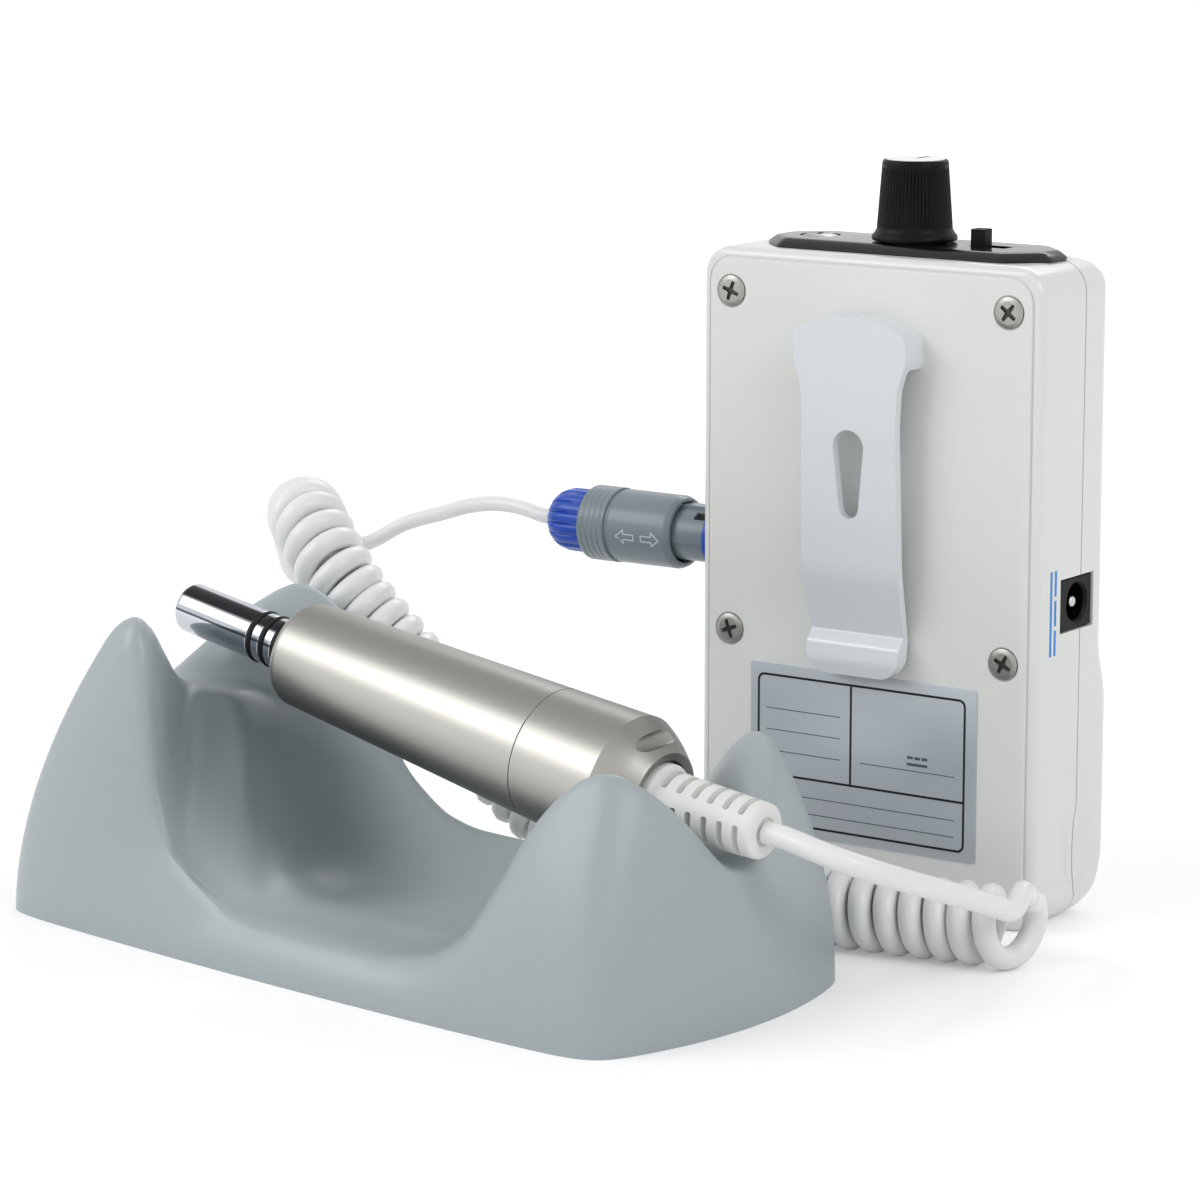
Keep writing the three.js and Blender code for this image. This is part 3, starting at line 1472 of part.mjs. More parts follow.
function cradleBlank() {
  const crowded = (i, steps) => {
    const even = i / steps;
    return THREE.MathUtils.lerp(even, Math.sin((even * Math.PI) / 2), planShares.crowding);
  };
  const stations = (steps) =>
    Array.from({ length: 2 * steps + 1 }, (_, i) => crowded(i - steps, steps));
  const lengths = stations(cradle.lengthSteps);
  const widths = stations(cradle.widthSteps);
  const place = (p, q) => {
    const [ends, sides] = [Math.abs(p), Math.abs(q)];
    const norm = (ends ** planShares.corner + sides ** planShares.corner) ** (1 / planShares.corner);
    const round = norm > 0 ? Math.max(ends, sides) / norm : 1;
    return [p * round, q * round];
  };
  const points = [];
  const faces = [];
  const top = lengths.map((p) => widths.map((q) => points.push(planPoint(...place(p, q), true)) - 1));
  for (let i = 0; i + 1 < lengths.length; i += 1) {
    for (let j = 0; j + 1 < widths.length; j += 1) {
      const [a, b, c, d] = [top[i][j], top[i + 1][j], top[i + 1][j + 1], top[i][j + 1]];
      if (i < lengths.length / 2 - 1 === j < widths.length / 2 - 1) faces.push(a, b, c, a, c, d);
      else faces.push(a, b, d, b, c, d);
    }
  }
  const [lastP, lastQ] = [lengths.length - 1, widths.length - 1];
  const rim = [
    ...lengths.slice(0, -1).map((p, i) => [i, 0]),
    ...widths.slice(0, -1).map((q, j) => [lastP, j]),
    ...lengths.slice(1).map((p, i) => [lastP - i, lastQ]),
    ...widths.slice(1).map((q, j) => [0, lastQ - j]),
  ];
  const foot = rim.map(([i, j]) => planPoint(...place(lengths[i], widths[j]), false));
  let above = rim.map(([i, j]) => top[i][j]);
  for (let k = cradle.wallRings - 1; k >= 0; k -= 1) {
    const share = k / cradle.wallRings;
    const ring = rim.map(([i, j], n) => {
      const high = points[top[i][j]];
      const u = THREE.MathUtils.lerp(foot[n].x, high.x, share ** planShares.endPower);
      const v = THREE.MathUtils.lerp(foot[n].y, high.y, share ** planShares.sidePower);
      return points.push(new THREE.Vector3(u, v, high.z * share)) - 1;
    });
    for (let n = 0; n < rim.length; n += 1) {
      const next = (n + 1) % rim.length;
      faces.push(ring[n], ring[next], above[next], ring[n], above[next], above[n]);
    }
    above = ring;
  }
  const base = points.push(new THREE.Vector3(0, 0, 0)) - 1;
  for (let n = 0; n < rim.length; n += 1) faces.push(base, above[(n + 1) % rim.length], above[n]);
  const geometry = new THREE.BufferGeometry().setFromPoints(points);
  geometry.setIndex(faces);
  return solid(geometry);
}

// The room that the handpiece needs in the cradle: its outline, open upwards
function liftRoom(stations, matrix) {
  const rings = stations.map(([along, radius]) => {
    const r = radius + seatGap;
    const ring = [];
    for (let i = 0; i <= 12; i += 1) {
      const angle = Math.PI + (Math.PI * i) / 12;
      ring.push(new THREE.Vector3(along, r * Math.cos(angle), r * Math.sin(angle)));
    }
    ring.push(new THREE.Vector3(along, r, cradle.leftHorn));
    ring.push(new THREE.Vector3(along, -r, cradle.leftHorn));
    return ring.map((point) => point.applyMatrix4(matrix));
  });
  return loft(rings);
}

function cradleAndHandpiece() {
  const group = new THREE.Group();
  group.position.set(cradle.along, cradle.across, 0);
  group.rotation.z = cradle.turn;
  pieces.add(group);
  const motorGroup = new THREE.Group();
  motorGroup.position.set(motor.along, 0, motor.height);
  motorGroup.rotation.y = motor.tilt;
  group.add(motorGroup);
  const bootGroup = handpiece(motorGroup);
  pieces.updateMatrixWorld(true);

  const tilted = motorGroup.matrix.clone();
  const lifted = tilted.clone().multiply(bootGroup.matrix);
  const bodyRoom = liftRoom([
    [-gap, motor.shoulderRadius],
    [motor.shoulderRound, motor.shoulderRadius],
    [motor.bellyAlong, motor.bellyRadius],
    ...domePoints,
    [motor.tailAlong, motor.tailRadius],
  ], tilted);
  const noseRoom = liftRoom([
    [-motor.noseLength - gap, motor.noseRadius + motor.ringRadius],
    [0, motor.noseRadius + motor.ringRadius],
  ], tilted);
  const bootRoom = liftRoom([
    [-boot.rootLength, boot.rootRadius],
    [boot.collarLength, boot.rootRadius],
    [boot.length, boot.endRadius],
    [boot.length + boot.rootLength, boot.endRadius],
  ], lifted);
  piece("cradle", cut(cradleBlank(), bodyRoom, noseRoom, bootRoom), finish(0x9aa5a8, 0.55), group);

  const exit = new THREE.Vector3(boot.length + gap, 0, 0).applyMatrix4(bootGroup.matrixWorld);
  const ahead = new THREE.Vector3(1, 0, 0).transformDirection(bootGroup.matrixWorld);
  return { exit, ahead };
}

// The curly stretch: a helix of wire round the axis curve, as one unbroken tube
function curls() {
  const points = coilAxis.map((point) => new THREE.Vector3(...point));
  const axis = new THREE.CatmullRomCurve3(points, false, "centripetal");
  const length = axis.getLength();
  const samples = 400;
  const frames = [];
  let normal = new THREE.Vector3(0, 0, 1);
  for (let i = 0; i <= samples; i += 1) {
    const tangent = axis.getTangentAt(i / samples);
    normal = normal.clone().addScaledVector(tangent, -normal.dot(tangent)).normalize();
    const side = tangent.clone().cross(normal);
    frames.push({ centre: axis.getPointAt(i / samples), tangent, normal, side });
  }
  const steps = Math.round(curl.turns * curl.stepsPerTurn);
  const travel = (turn) =>
    turn + Math.min(turn, 1) * (curlShares.first - 1) +
    Math.max(turn - curl.floorTurns, 0) * (curlShares.arch - 1);
  const total = travel(curl.turns);
  const wire = [];
  for (let k = 0; k <= steps; k += 1) {
    const turn = (curl.turns * k) / steps;
    const place = (samples * travel(turn)) / total;
    const low = Math.min(Math.floor(place), samples - 1);
    const mix = place - low;
    const blend = (key) => frames[low][key].clone().lerp(frames[low + 1][key], mix);
    const angle = curl.startAngle + 2 * Math.PI * turn;
    const out = blend("normal").multiplyScalar(Math.cos(angle));
    out.addScaledVector(blend("side"), Math.sin(angle)).normalize();
    wire.push({ point: blend("centre").addScaledVector(out, curl.radius), out });
  }
  const straight = 2 * curl.wireRadius;
  const direction = (a, b) => b.clone().sub(a).normalize();
  const last = wire.length - 1;
  const startHeading = direction(wire[1].point, wire[0].point);
  const endHeading = direction(wire[last - 1].point, wire[last].point);
  const beyond = ({ point, out }, heading) =>
    ({ point: point.clone().addScaledVector(heading, straight), out });
  wire.unshift(beyond(wire[0], startHeading));
  wire.push(beyond(wire[last + 1], endHeading));

  const rings = wire.map(({ point, out }, i) => {
    const before = wire[Math.max(i - 1, 0)].point;
    const after = wire[Math.min(i + 1, wire.length - 1)].point;
    let ahead = direction(before, after);
    if (i <= 1) ahead = startHeading.clone().negate();
    if (i >= wire.length - 2) ahead = endHeading;
    const across = out.clone().addScaledVector(ahead, -out.dot(ahead)).normalize();
    const other = ahead.clone().cross(across);
    return Array.from({ length: curl.sides }, (_, k) => {
      const angle = (2 * Math.PI * k) / curl.sides;
      return point.clone()
        .addScaledVector(across, curl.wireRadius * Math.cos(angle))
        .addScaledVector(other, curl.wireRadius * Math.sin(angle));
    });
  });

  let least = Infinity;
  const apart = Math.round(curl.stepsPerTurn / 2) + 1;
  for (let i = 0; i < wire.length; i += 1)
    for (let k = i + apart; k < wire.length; k += 1)
      least = Math.min(least, wire[i].point.distanceTo(wire[k].point));
  console.log(`curly cord: least gap to itself ${(least - 2 * curl.wireRadius).toFixed(2)} mm, ` +
    `axis length ${length.toFixed(1)} mm, pitch ${(length / total).toFixed(2)} mm`);
  piece("cord_coil", loft(rings), cordWhite);
  return {
    start: wire[0].point.clone().addScaledVector(startHeading, gap),
    startHeading,
    end: wire[wire.length - 1].point.clone().addScaledVector(endHeading, gap),
    endHeading,
  };
}

// A free stretch of cord between two exits, straight for a diameter at both ends
function lead(name, exit, ahead, route, end, endHeading, radius, sides, steps) {
  const straight = 2 * radius;
  const path = new THREE.CatmullRomCurve3([
    exit,
    exit.clone().addScaledVector(ahead, straight),
    ...route.map((point) => new THREE.Vector3(...point)),
    end.clone().addScaledVector(endHeading, straight),
    end,
  ], false, "centripetal");
  const section = new THREE.Shape(
    Array.from({ length: sides }, (_, k) => {
      const angle = (2 * Math.PI * k) / sides;
      return new THREE.Vector2(radius * Math.cos(angle), radius * Math.sin(angle));
    }),
  );
  const geometry = new THREE.ExtrudeGeometry(section, { steps, extrudePath: path, bevelEnabled: false });
  piece(name, solid(geometry), cordWhite);
  console.log(`${name}: ${path.getLength().toFixed(1)} mm`);
}

controlBox();
topControls();
electronics();
motorSocket();
const plugExit = motorPlug();
beltClip();
const bootEnd = cradleAndHandpiece();
const coil = curls();
lead(
  "motor_lead", bootEnd.exit, bootEnd.ahead, leadRoute, coil.start, coil.startHeading,
  cord.leadRadius, cord.leadSides, cord.leadSteps,
);
lead(
  "plug_lead", plugExit, new THREE.Vector3(-1, 0, 0), thinRoute, coil.end, coil.endHeading,
  cord.thinRadius, cord.thinSides, cord.thinSteps,
);

export default pieces;
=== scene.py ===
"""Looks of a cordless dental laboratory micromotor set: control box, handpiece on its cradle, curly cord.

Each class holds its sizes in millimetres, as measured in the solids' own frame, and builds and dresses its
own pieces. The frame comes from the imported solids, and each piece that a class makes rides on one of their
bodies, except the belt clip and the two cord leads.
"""

import logging
from dataclasses import dataclass
from enum import Enum
from math import asin, atan2, copysign, cos, degrees, pi, radians, sin, sqrt, tan, tau
from typing import Callable, Optional, Sequence

import bmesh
import bpy
from mathutils import Matrix, Vector


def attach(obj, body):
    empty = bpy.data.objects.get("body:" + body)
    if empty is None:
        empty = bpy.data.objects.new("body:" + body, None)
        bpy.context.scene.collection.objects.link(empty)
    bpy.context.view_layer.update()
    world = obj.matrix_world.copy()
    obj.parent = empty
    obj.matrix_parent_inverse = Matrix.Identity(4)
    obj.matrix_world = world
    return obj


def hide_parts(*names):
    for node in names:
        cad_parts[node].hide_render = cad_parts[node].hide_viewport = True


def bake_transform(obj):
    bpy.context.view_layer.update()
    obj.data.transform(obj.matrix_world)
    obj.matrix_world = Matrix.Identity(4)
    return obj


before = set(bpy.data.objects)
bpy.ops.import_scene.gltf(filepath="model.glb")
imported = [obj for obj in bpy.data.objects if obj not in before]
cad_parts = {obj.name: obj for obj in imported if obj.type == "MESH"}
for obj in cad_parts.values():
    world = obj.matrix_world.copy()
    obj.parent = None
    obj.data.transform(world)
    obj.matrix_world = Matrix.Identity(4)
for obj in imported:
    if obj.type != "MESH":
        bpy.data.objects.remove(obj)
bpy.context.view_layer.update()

LOG = logging.getLogger("micromotor")

# One millimetre in metres; all other lengths are in millimetres
MM = 0.001
# Room between two pieces, and between the handpiece and its seat
GAP = 0.3
SEAT_GAP = 0.35
# How far a cutting tool reaches past what it cuts
OVERRUN = 1.0
# Points nearer than this are one
WELD = 1e-4
# Room round a sunk screw head, and the height of print on a surface
HEAD_SLACK = 0.25
INK = 0.03
# How deep print sinks in, and how deep the case's sides are cut for a socket
INK_ROOT = 0.01
SIDE_CUT = 4.0
# Steps round a large and a very large turned piece
ROUND = 96
WIDE_ROUND = 128

Point2 = tuple[float, float]
Point3 = tuple[float, float, float]
Point4 = tuple[float, float, float, float]
Shape = bmesh.types.BMesh
Piece = bpy.types.Object
Tree = bpy.types.NodeTree
Node = bpy.types.Node
Socket = bpy.types.NodeSocket

RIGHT, BACK, UP = Vector((1, 0, 0)), Vector((0, 1, 0)), Vector((0, 0, 1))


class Axis(Enum):
    """The axes that turned pieces stand on, each with the direction in which its radius is drawn."""

    X = (RIGHT, UP)
    Y = (BACK, UP)
    Z = (UP, RIGHT)


class Plane(Enum):
    """The planes that outlines are drawn in: first axis, second axis, and the way they are extruded."""

    XY = (RIGHT, BACK, UP)
    XZ = (RIGHT, UP, BACK)
    YZ = (BACK, UP, RIGHT)


class Cut(Enum):
    """How a tool shape changes the shape that it meets."""

    AWAY = "DIFFERENCE"
    JOIN = "UNION"
    KEEP = "INTERSECT"


# Shader groups -------------------------------------------------------

SOCKET_KINDS = {"Vector": "NodeSocketVector", "Colour": "NodeSocketColor"}
PALE = (0.8, 0.8, 0.8, 1)


def add_node(tree: Tree, kind: str, inputs: dict, **settings: object) -> Node:
    """Adds a node to a shader tree.

    Args:
        tree: The tree that it goes into.
        kind: The node's type, without ShaderNode before it.
        inputs: A value or a socket for each input that isn't left alone, by its name or number.
        **settings: The node's own settings.

    Returns:
        The node.
    """
    node = tree.nodes.new("ShaderNode" + kind)
    for label, value in settings.items():
        setattr(node, label, value)
    for label, value in inputs.items():
        if isinstance(value, Socket):
            tree.links.new(value, node.inputs[label])
        else:
            node.inputs[label].default_value = value
    return node


def math_node(tree: Tree, operation: str, a: object, b: object = 0.0) -> Socket:
    """Adds a Math node for two sockets or numbers, and returns its result."""
    return add_node(tree, "Math", {0: a, 1: b}, operation=operation).outputs[0]


def noise_node(tree: Tree, place: Socket, scale: object, detail: float) -> Socket:
    """Adds a Noise Texture node and returns its result."""
    return add_node(tree, "TexNoise", {"Vector": place, "Scale": scale, "Detail": detail}).outputs[0]


def ramp_node(tree: Tree, value: Socket, reach: Point2, levels: Point2) -> Socket:
    """Adds a smooth ramp.

    Args:
        tree: The tree that it goes into.
        value: What it reads.
        reach: Where it starts and where it ends.
        levels: What it gives before its start and after its end.

    Returns:
        Its result.
    """
    return add_node(tree, "MapRange", {
        "Value": value, "From Min": reach[0], "From Max": reach[1], "To Min": levels[0],
        "To Max": levels[1]}, interpolation_type="SMOOTHSTEP").outputs[0]


def length_node(tree: Tree, place: Socket) -> Socket:
    """Adds a node that gives a place's distance from the origin."""
    return add_node(tree, "VectorMath", {0: place}, operation="LENGTH").outputs["Value"]


def dark_mix(tree: Tree, colour: Socket, dark: tuple, share: Socket, blend: str) -> Socket:
    """Mixes a dark colour into another.

    Args:
        tree: The tree that the node goes into.
        colour: The colour that is darkened.
        dark: The dark colour.
        share: How much of it comes in.
        blend: The way in which the two are blended.

    Returns:
        The darkened colour.
    """
    inputs = {0: share, 6: colour, 7: dark}
    return add_node(tree, "Mix", inputs, data_type="RGBA", blend_type=blend).outputs[2]


def new_group(name: str, gives: str, **inputs: object) -> tuple[Tree, Node, Socket]:
    """Starts a shader group that reads a place and gives one result.

    Args:
        name: The group's name.
        gives: The result's name.
        **inputs: The default value of each input after the place.

    Returns:
        The group, its input node and the socket that takes its result.
    """
    group = bpy.data.node_groups.new(name, "ShaderNodeTree")
    for label, way in (("Vector", "INPUT"), *((label, "INPUT") for label in inputs), (gives, "OUTPUT")):
        kind = SOCKET_KINDS.get(label, "NodeSocketFloat")
        socket = group.interface.new_socket(label, in_out=way, socket_type=kind)
        if way == "INPUT" and label in inputs:
            socket.default_value = inputs[label]
    return group, group.nodes.new("NodeGroupInput"), group.nodes.new("NodeGroupOutput").inputs[0]


def tone_drift() -> None:
    """Makes the group for a colour that darkens softly from place to place, as handled surfaces do."""
    group, start, result = new_group("tone_drift", "Colour", Colour=PALE, Scale=20.0, Amount=0.1)
    place, colour, scale, amount = start.outputs[:4]
    cloud = noise_node(group, place, scale, 3.0)
    speck = noise_node(group, place, math_node(group, "MULTIPLY", scale, 40.0), 2.0)
    both = math_node(group, "ADD", math_node(group, "MULTIPLY", cloud, 0.8),
                     math_node(group, "MULTIPLY", speck, 0.2))
    share = math_node(group, "MULTIPLY", both, amount)
    group.links.new(dark_mix(group, colour, (0.45, 0.46, 0.47, 1), share, "MULTIPLY"), result)


def handling_marks() -> None:
    """Makes the group for a roughness that varies as a touched and wiped surface does."""
    group, start, result = new_group(
        "handling_marks", "Roughness", Roughness=0.4, Scale=60.0, Amount=0.1)
    place, roughness, scale, amount = start.outputs[:4]
    cloud = noise_node(group, place, scale, 4.0)
    swing = math_node(group, "MULTIPLY", math_node(group, "SUBTRACT", cloud, 0.5), amount)
    group.links.new(math_node(group, "ADD", roughness, swing), result)


def fine_grain() -> None:
    """Makes the group for the height of a fine moulded or blasted grain over a broad unevenness."""
    group, start, result = new_group("fine_grain", "Height", Scale=3000.0, Wave=60.0, Share=0.3)
    place, scale, wave, share = start.outputs[:4]
    grain = noise_node(group, place, scale, 3.0)
    broad = math_node(group, "MULTIPLY", noise_node(group, place, wave, 1.0), share)
    group.links.new(math_node(group, "ADD", grain, broad), result)


def painted_reflection_bands(name: str, bands: Sequence[Point3], soft: float) -> None:
    """Makes the group for painted reflections: dark bands painted along a round metal bar that lies along the
    first axis.

    Args:
        name: The group's name.
        bands: Each band's middle and half width as angles round the bar, and its strength.
        soft: How far a band's edge fades, as a share of its half width.
    """
    group, start, result = new_group(name, "Colour", Colour=PALE)
    split = add_node(group, "SeparateXYZ", {0: start.outputs["Vector"]})
    across = math_node(group, "MULTIPLY", split.outputs["Y"], -1.0)
    angle = math_node(group, "ARCTAN2", across, split.outputs["Z"])
    darkest = None
    for middle, half, strength in bands:
        away = math_node(group, "ABSOLUTE", math_node(group, "SUBTRACT", angle, middle))
        band = ramp_node(group, away, (half * (1 - soft), half * (1 + soft)), (strength, 0.0))
        darkest = band if darkest is None else math_node(group, "MAXIMUM", darkest, band)
    # The near-black that the painted reflections darken towards
    mix = dark_mix(group, start.outputs["Colour"], (0.012, 0.011, 0.012, 1), darkest, "MIX")
    group.links.new(mix, result)


def hollow_shade(centre: Vector, radii: Vector) -> None:
    """Makes the group for the darker tone in the cradle's hollow, which stands in for its shade.

    Args:
        centre: The middle of the hollow, in metres.
        radii: How far the darker tone reaches each way, in metres.
    """
    group, start, result = new_group("hollow_shade", "Colour", Colour=PALE, Amount=0.0)
    place, colour, amount = start.outputs[:3]
    inside = add_node(group, "Mapping", {"Vector": place, "Location": centre, "Scale": radii},
                      vector_type="TEXTURE").outputs[0]
    shade = ramp_node(group, length_node(group, inside), (0.4, 1.2), (1.0, 0.0))
    share = math_node(group, "MULTIPLY", shade, amount)
    group.links.new(dark_mix(group, colour, (0.3, 0.34, 0.35, 1), share, "MULTIPLY"), result)


def fresh_tree(owner: bpy.types.ID, kind: str) -> tuple[Tree, Socket]:
    """Empties the shader tree of a material or world.

    Args:
        owner: The material or world.
        kind: Material or World.

    Returns:
        The tree, and the socket that takes its surface.
    """
    owner.use_nodes = True
    owner.node_tree.nodes.clear()
    output = add_node(owner.node_tree, "Output" + kind, {})
    return owner.node_tree, output.inputs["Surface"]


def colour_of(code: str) -> Point4:
    """The linear colour of a six-digit code as it looks on a screen."""
    parts = [int(code[i:i + 2], 16) / 255 for i in (0, 2, 4)]
    linear = [c / 12.92 if c <= 0.04045 else ((c + 0.055) / 1.055) ** 2.4 for c in parts]
    return (*linear, 1.0)


@dataclass(frozen=True)
class Finish:
    """A surface finish: its colour, gloss, drift of tone, marks and grain.

    Lengths are in millimetres and scales in features per metre. The stretch draws the grain out along the
    axes, after a turn to the piece's own axis.
    """

    name: str
    slot: str
    colour: str
    roughness: float = 0.4
    metallic: float = 0.0
    coat: float = 0.0
    coat_roughness: float = 0.1
    drift: float = 0.12
    drift_scale: float = 25.0
    marks: float = 0.12
    marks_scale: float = 70.0
    grain: float = 0.004
    grain_scale: float = 3000.0
    wave: float = 60.0
    wave_share: float = 0.3
    stretch: Point3 = (1.0, 1.0, 1.0)
    turn: Point3 = (0.0, 0.0, 0.0)
    origin: Point3 = (0.0, 0.0, 0.0)
    shine: float = 0.5
    # The group that paints reflections into the colour as dark bands; empty for none
    bands: str = ""
    # How strongly shade is painted into the colour in the cradle's hollow
    hollow: float = 0.0

    def material(self) -> bpy.types.Material:
        """The finish's material, made the first time that it is asked for.

        Returns:
            The material.
        """
        known = bpy.data.materials.get(self.name)
        if known is not None and "finish" in known:
            return known
        material = bpy.data.materials.new(self.name)
        material["finish"] = self.slot
        tree, surface = fresh_tree(material, "Material")
        place = add_node(tree, "TexCoord", {}).outputs["Object"]
        own = add_node(tree, "Mapping", {
            "Vector": place, "Location": self.origin, "Rotation": self.turn, "Scale": self.stretch,
        }, vector_type="TEXTURE").outputs[0]
        colour = self._group(tree, "tone_drift", own, Colour=colour_of(self.colour),
                             Scale=self.drift_scale, Amount=self.drift)
        # Reflections painted in as dark bands
        if self.bands:
            colour = self._group(tree, self.bands, own, Colour=colour)
        # Shade painted into the cradle's hollow
        if self.hollow > 0:
            colour = self._group(tree, "hollow_shade", place, Colour=colour, Amount=self.hollow)
        gloss = self._group(tree, "handling_marks", own, Roughness=self.roughness,
                            Scale=self.marks_scale, Amount=self.marks)
        relief = self._group(tree, "fine_grain", own, Scale=self.grain_scale, Wave=self.wave,
                             Share=self.wave_share)
        bump = add_node(tree, "Bump", {"Strength": 1.0, "Distance": self.grain * MM, "Height": relief})
        shader = add_node(tree, "BsdfPrincipled", {
            "Base Color": colour, "Metallic": self.metallic, "Roughness": gloss,
            "Specular IOR Level": self.shine, "Coat Weight": self.coat,
            "Coat Roughness": self.coat_roughness, "Normal": bump.outputs[0]})
        tree.links.new(shader.outputs[0], surface)
        return material

    @staticmethod
    def _group(tree: Tree, name: str, place: Socket, **inputs: object) -> Socket:
        """Places a shader group.

        Args:
            tree: The material's tree.
            name: The group's name.
            place: The place that its pattern reads.
            **inputs: A value or a socket for each other input.

        Returns:
            The group's result.
        """
        group = bpy.data.node_groups[name]
        return add_node(tree, "Group", {"Vector": place, **inputs}, node_tree=group).outputs[0]


# The handpiece's own axis: its turn, and in metres its start
MOTOR_TURN = (0.0, radians(10.05), radians(-4))
MOTOR_ORIGIN = (-0.073448, -0.0796, 0.04915)
# Painted reflections on the handpiece's metal: middle and half width of each dark band as angles round it,
# its strength, and how softly bands end
POLISHED_PAINTED_REFLECTIONS = (((0.5, 0.33, 0.97), (1.44, 0.05, 0.8), (-2.0, 0.4, 0.85), (2.9, 0.1, 0.6)), 0.2)
SATIN_PAINTED_REFLECTIONS = (((0.2, 0.7, 0.5), (2.45, 0.6, 0.6)), 0.9)
# Middle and reach of the painted shade in the cradle's hollow, in metres
HOLLOW = (Vector((-0.082, -0.079, 0.026)), Vector((0.036, 0.025, 0.032)))

CASE_WHITE = Finish("case_white_moulding", "case_white", "e2e4e1", 0.3, coat=0.2, coat_roughness=0.12,
                    drift=0.05, grain=0.003, grain_scale=2600)
CLIP_WHITE = Finish("clip_white_moulding", "clip_white", "dbe0e4", 0.2, coat=0.4, coat_roughness=0.08,
                    drift=0.05, grain=0.002, wave_share=1.2, wave=45)
BLACK_GLOSS = Finish("black_gloss_moulding", "gloss_black", "0d0e10", 0.16, drift=0.2, grain=0.001,
                     shine=0.35)
BLACK_SATIN = Finish("black_satin_moulding", "gloss_black", "08090a", 0.4, drift=0.25, shine=0.13)
DARK_PLASTIC = Finish("dark_moulding", "dark_plastic", "17181a", 0.5, drift=0.3, grain=0.006, shine=0.25)
KNOB_WHITE = Finish("knob_cap_white", "case_white", "f0f1f1", 0.35, drift=0.05, grain=0.002)
SCREW_STEEL = Finish("screw_steel", "bright_steel", "adaba7", 0.38, metallic=1, drift=0.6, drift_scale=300,
                     marks=0.3, marks_scale=600, grain=0.02, grain_scale=4000)
BRIGHT_STEEL = Finish("plain_steel", "bright_steel", "c4c7ca", 0.25, metallic=1, drift=0.2, marks=0.15)
BRASS = Finish("brass_parts", "brass", "c9a55a", 0.32, metallic=1, drift=0.3, marks=0.2)
# Dark steel for the control's nut, also used for painted shade in the screws' cross recesses
DARK_STEEL_AND_RECESS_SHADE = Finish("dark_steel_and_recess_shade", "brass", "4a4743", 0.4, metallic=1, drift=0.3, marks=0.2)
ALUMINIUM = Finish("aluminium_parts", "aluminium", "c3c5c8", 0.38, metallic=1, drift=0.2, marks=0.2)
LABEL_FOIL = Finish("label_foil_brushed", "label_foil", "c3cad0", 0.36, metallic=0.5, drift=0.3,
                    drift_scale=12, marks=0.18, marks_scale=90, grain=0.003, grain_scale=2500,
                    stretch=(15.0, 1.0, 1.0))
PRINT_BLACK = Finish("print_black", "gloss_black", "16181a", 0.4, drift=0.2, grain=0.001, shine=0.3)
PRINT_GREY = Finish("print_grey", "label_foil", "50565c", 0.45, drift=0.15, grain=0.001, shine=0.3)
PRINT_BLUE = Finish("print_blue", "blue_plastic", "2f86d8", 0.4, drift=0.1, grain=0.001, shine=0.3)
PLUG_BLUE = Finish("blue_moulding", "blue_plastic", "164cba", 0.27, coat=0.12, drift=0.25, grain=0.003,
                   shine=0.35)
PLUG_GREY = Finish("plug_grey_moulding", "plug_grey", "7c888f", 0.32, coat=0.12, grain=0.003, shine=0.4)
PLUG_PRINT = Finish("plug_print", "plug_grey", "cdd4d8", 0.45, drift=0.1, grain=0.001)
# The satin and the chrome of the handpiece carry reflections painted in as dark bands round its axis
MOTOR_SATIN = Finish("motor_satin", "handpiece_grey", "b8b6b1", 0.38, metallic=1.0, drift=0.06,
                     drift_scale=40, marks=0.05, grain=0.003, grain_scale=2800, wave_share=0.05,
                     stretch=(0.7, 1.0, 1.0), turn=MOTOR_TURN, origin=MOTOR_ORIGIN, bands="satin_painted_reflections")
NOSE_CHROME = Finish("nose_chrome", "bright_steel", "c6cbd2", 0.06, metallic=1, drift=0.1, marks=0.03,
                     grain=0.0004, turn=MOTOR_TURN, origin=MOTOR_ORIGIN, bands="polished_painted_reflections")
RING_RUBBER = Finish("ring_rubber", "black_rubber", "08090a", 0.5, drift=0.2, shine=0.25)
CORD_WHITE = Finish("cord_sheath", "cord_white", "eceded", 0.36, coat=0.1, drift=0.05, marks=0.1,
                    grain=0.003, grain_scale=2200)
BOOT_WHITE = Finish("boot_rubber", "cord_white", "e9eae7", 0.5, drift=0.06, grain=0.006, grain_scale=2600)
# The cradle's grey has shade painted into its hollow
CRADLE_GREY = Finish("cradle_moulding", "cradle_grey", "a6b0b3", 0.4, coat=0.12, coat_roughness=0.3,
                     drift=0.14, drift_scale=14, marks=0.22, marks_scale=26, grain=0.02, grain_scale=1500,
                     wave=35, wave_share=2.0, stretch=(2.0, 2.0, 0.6), hollow=0.75)
CELL_POUCH = Finish("cell_pouch_foil", "cell_pouch", "b5bac0", 0.35, metallic=0.7, drift=0.3, wave_share=2)
BOARD_GREEN = Finish("board_green", "circuit_board", "1f6b43", 0.35, coat=0.3, drift=0.35,
                     drift_scale=220)
MAGNET_IRON = Finish("magnet_iron_grey", "magnet_iron", "4e4e50", 0.5, metallic=0.6, drift=0.3)


# Mesh helpers --------------------------------------------------------

def linked(name: str, data: bpy.types.ID) -> Piece:
    """A new object in the scene."""
    made = bpy.data.objects.new(name, data)
    bpy.context.scene.collection.objects.link(made)
    return made


def mesh_of(bm: Shape, name: str) -> bpy.types.Mesh:
    """A shape's mesh data, with the shape freed.

    Args:
        bm: The shape.
        name: The data's name.

    Returns:
        The mesh data.
    """
    mesh = bpy.data.meshes.new(name)
    bm.to_mesh(mesh)
    bm.free()
    return mesh


def shape_of(*meshes: bpy.types.Mesh) -> Shape:
    """One shape from mesh data, which is removed.

    Args:
        *meshes: The mesh data.

    Returns:
        The shape.
    """
    bm = bmesh.new()
    for mesh in meshes:
        bm.from_mesh(mesh)
        bpy.data.meshes.remove(mesh)
    return bm


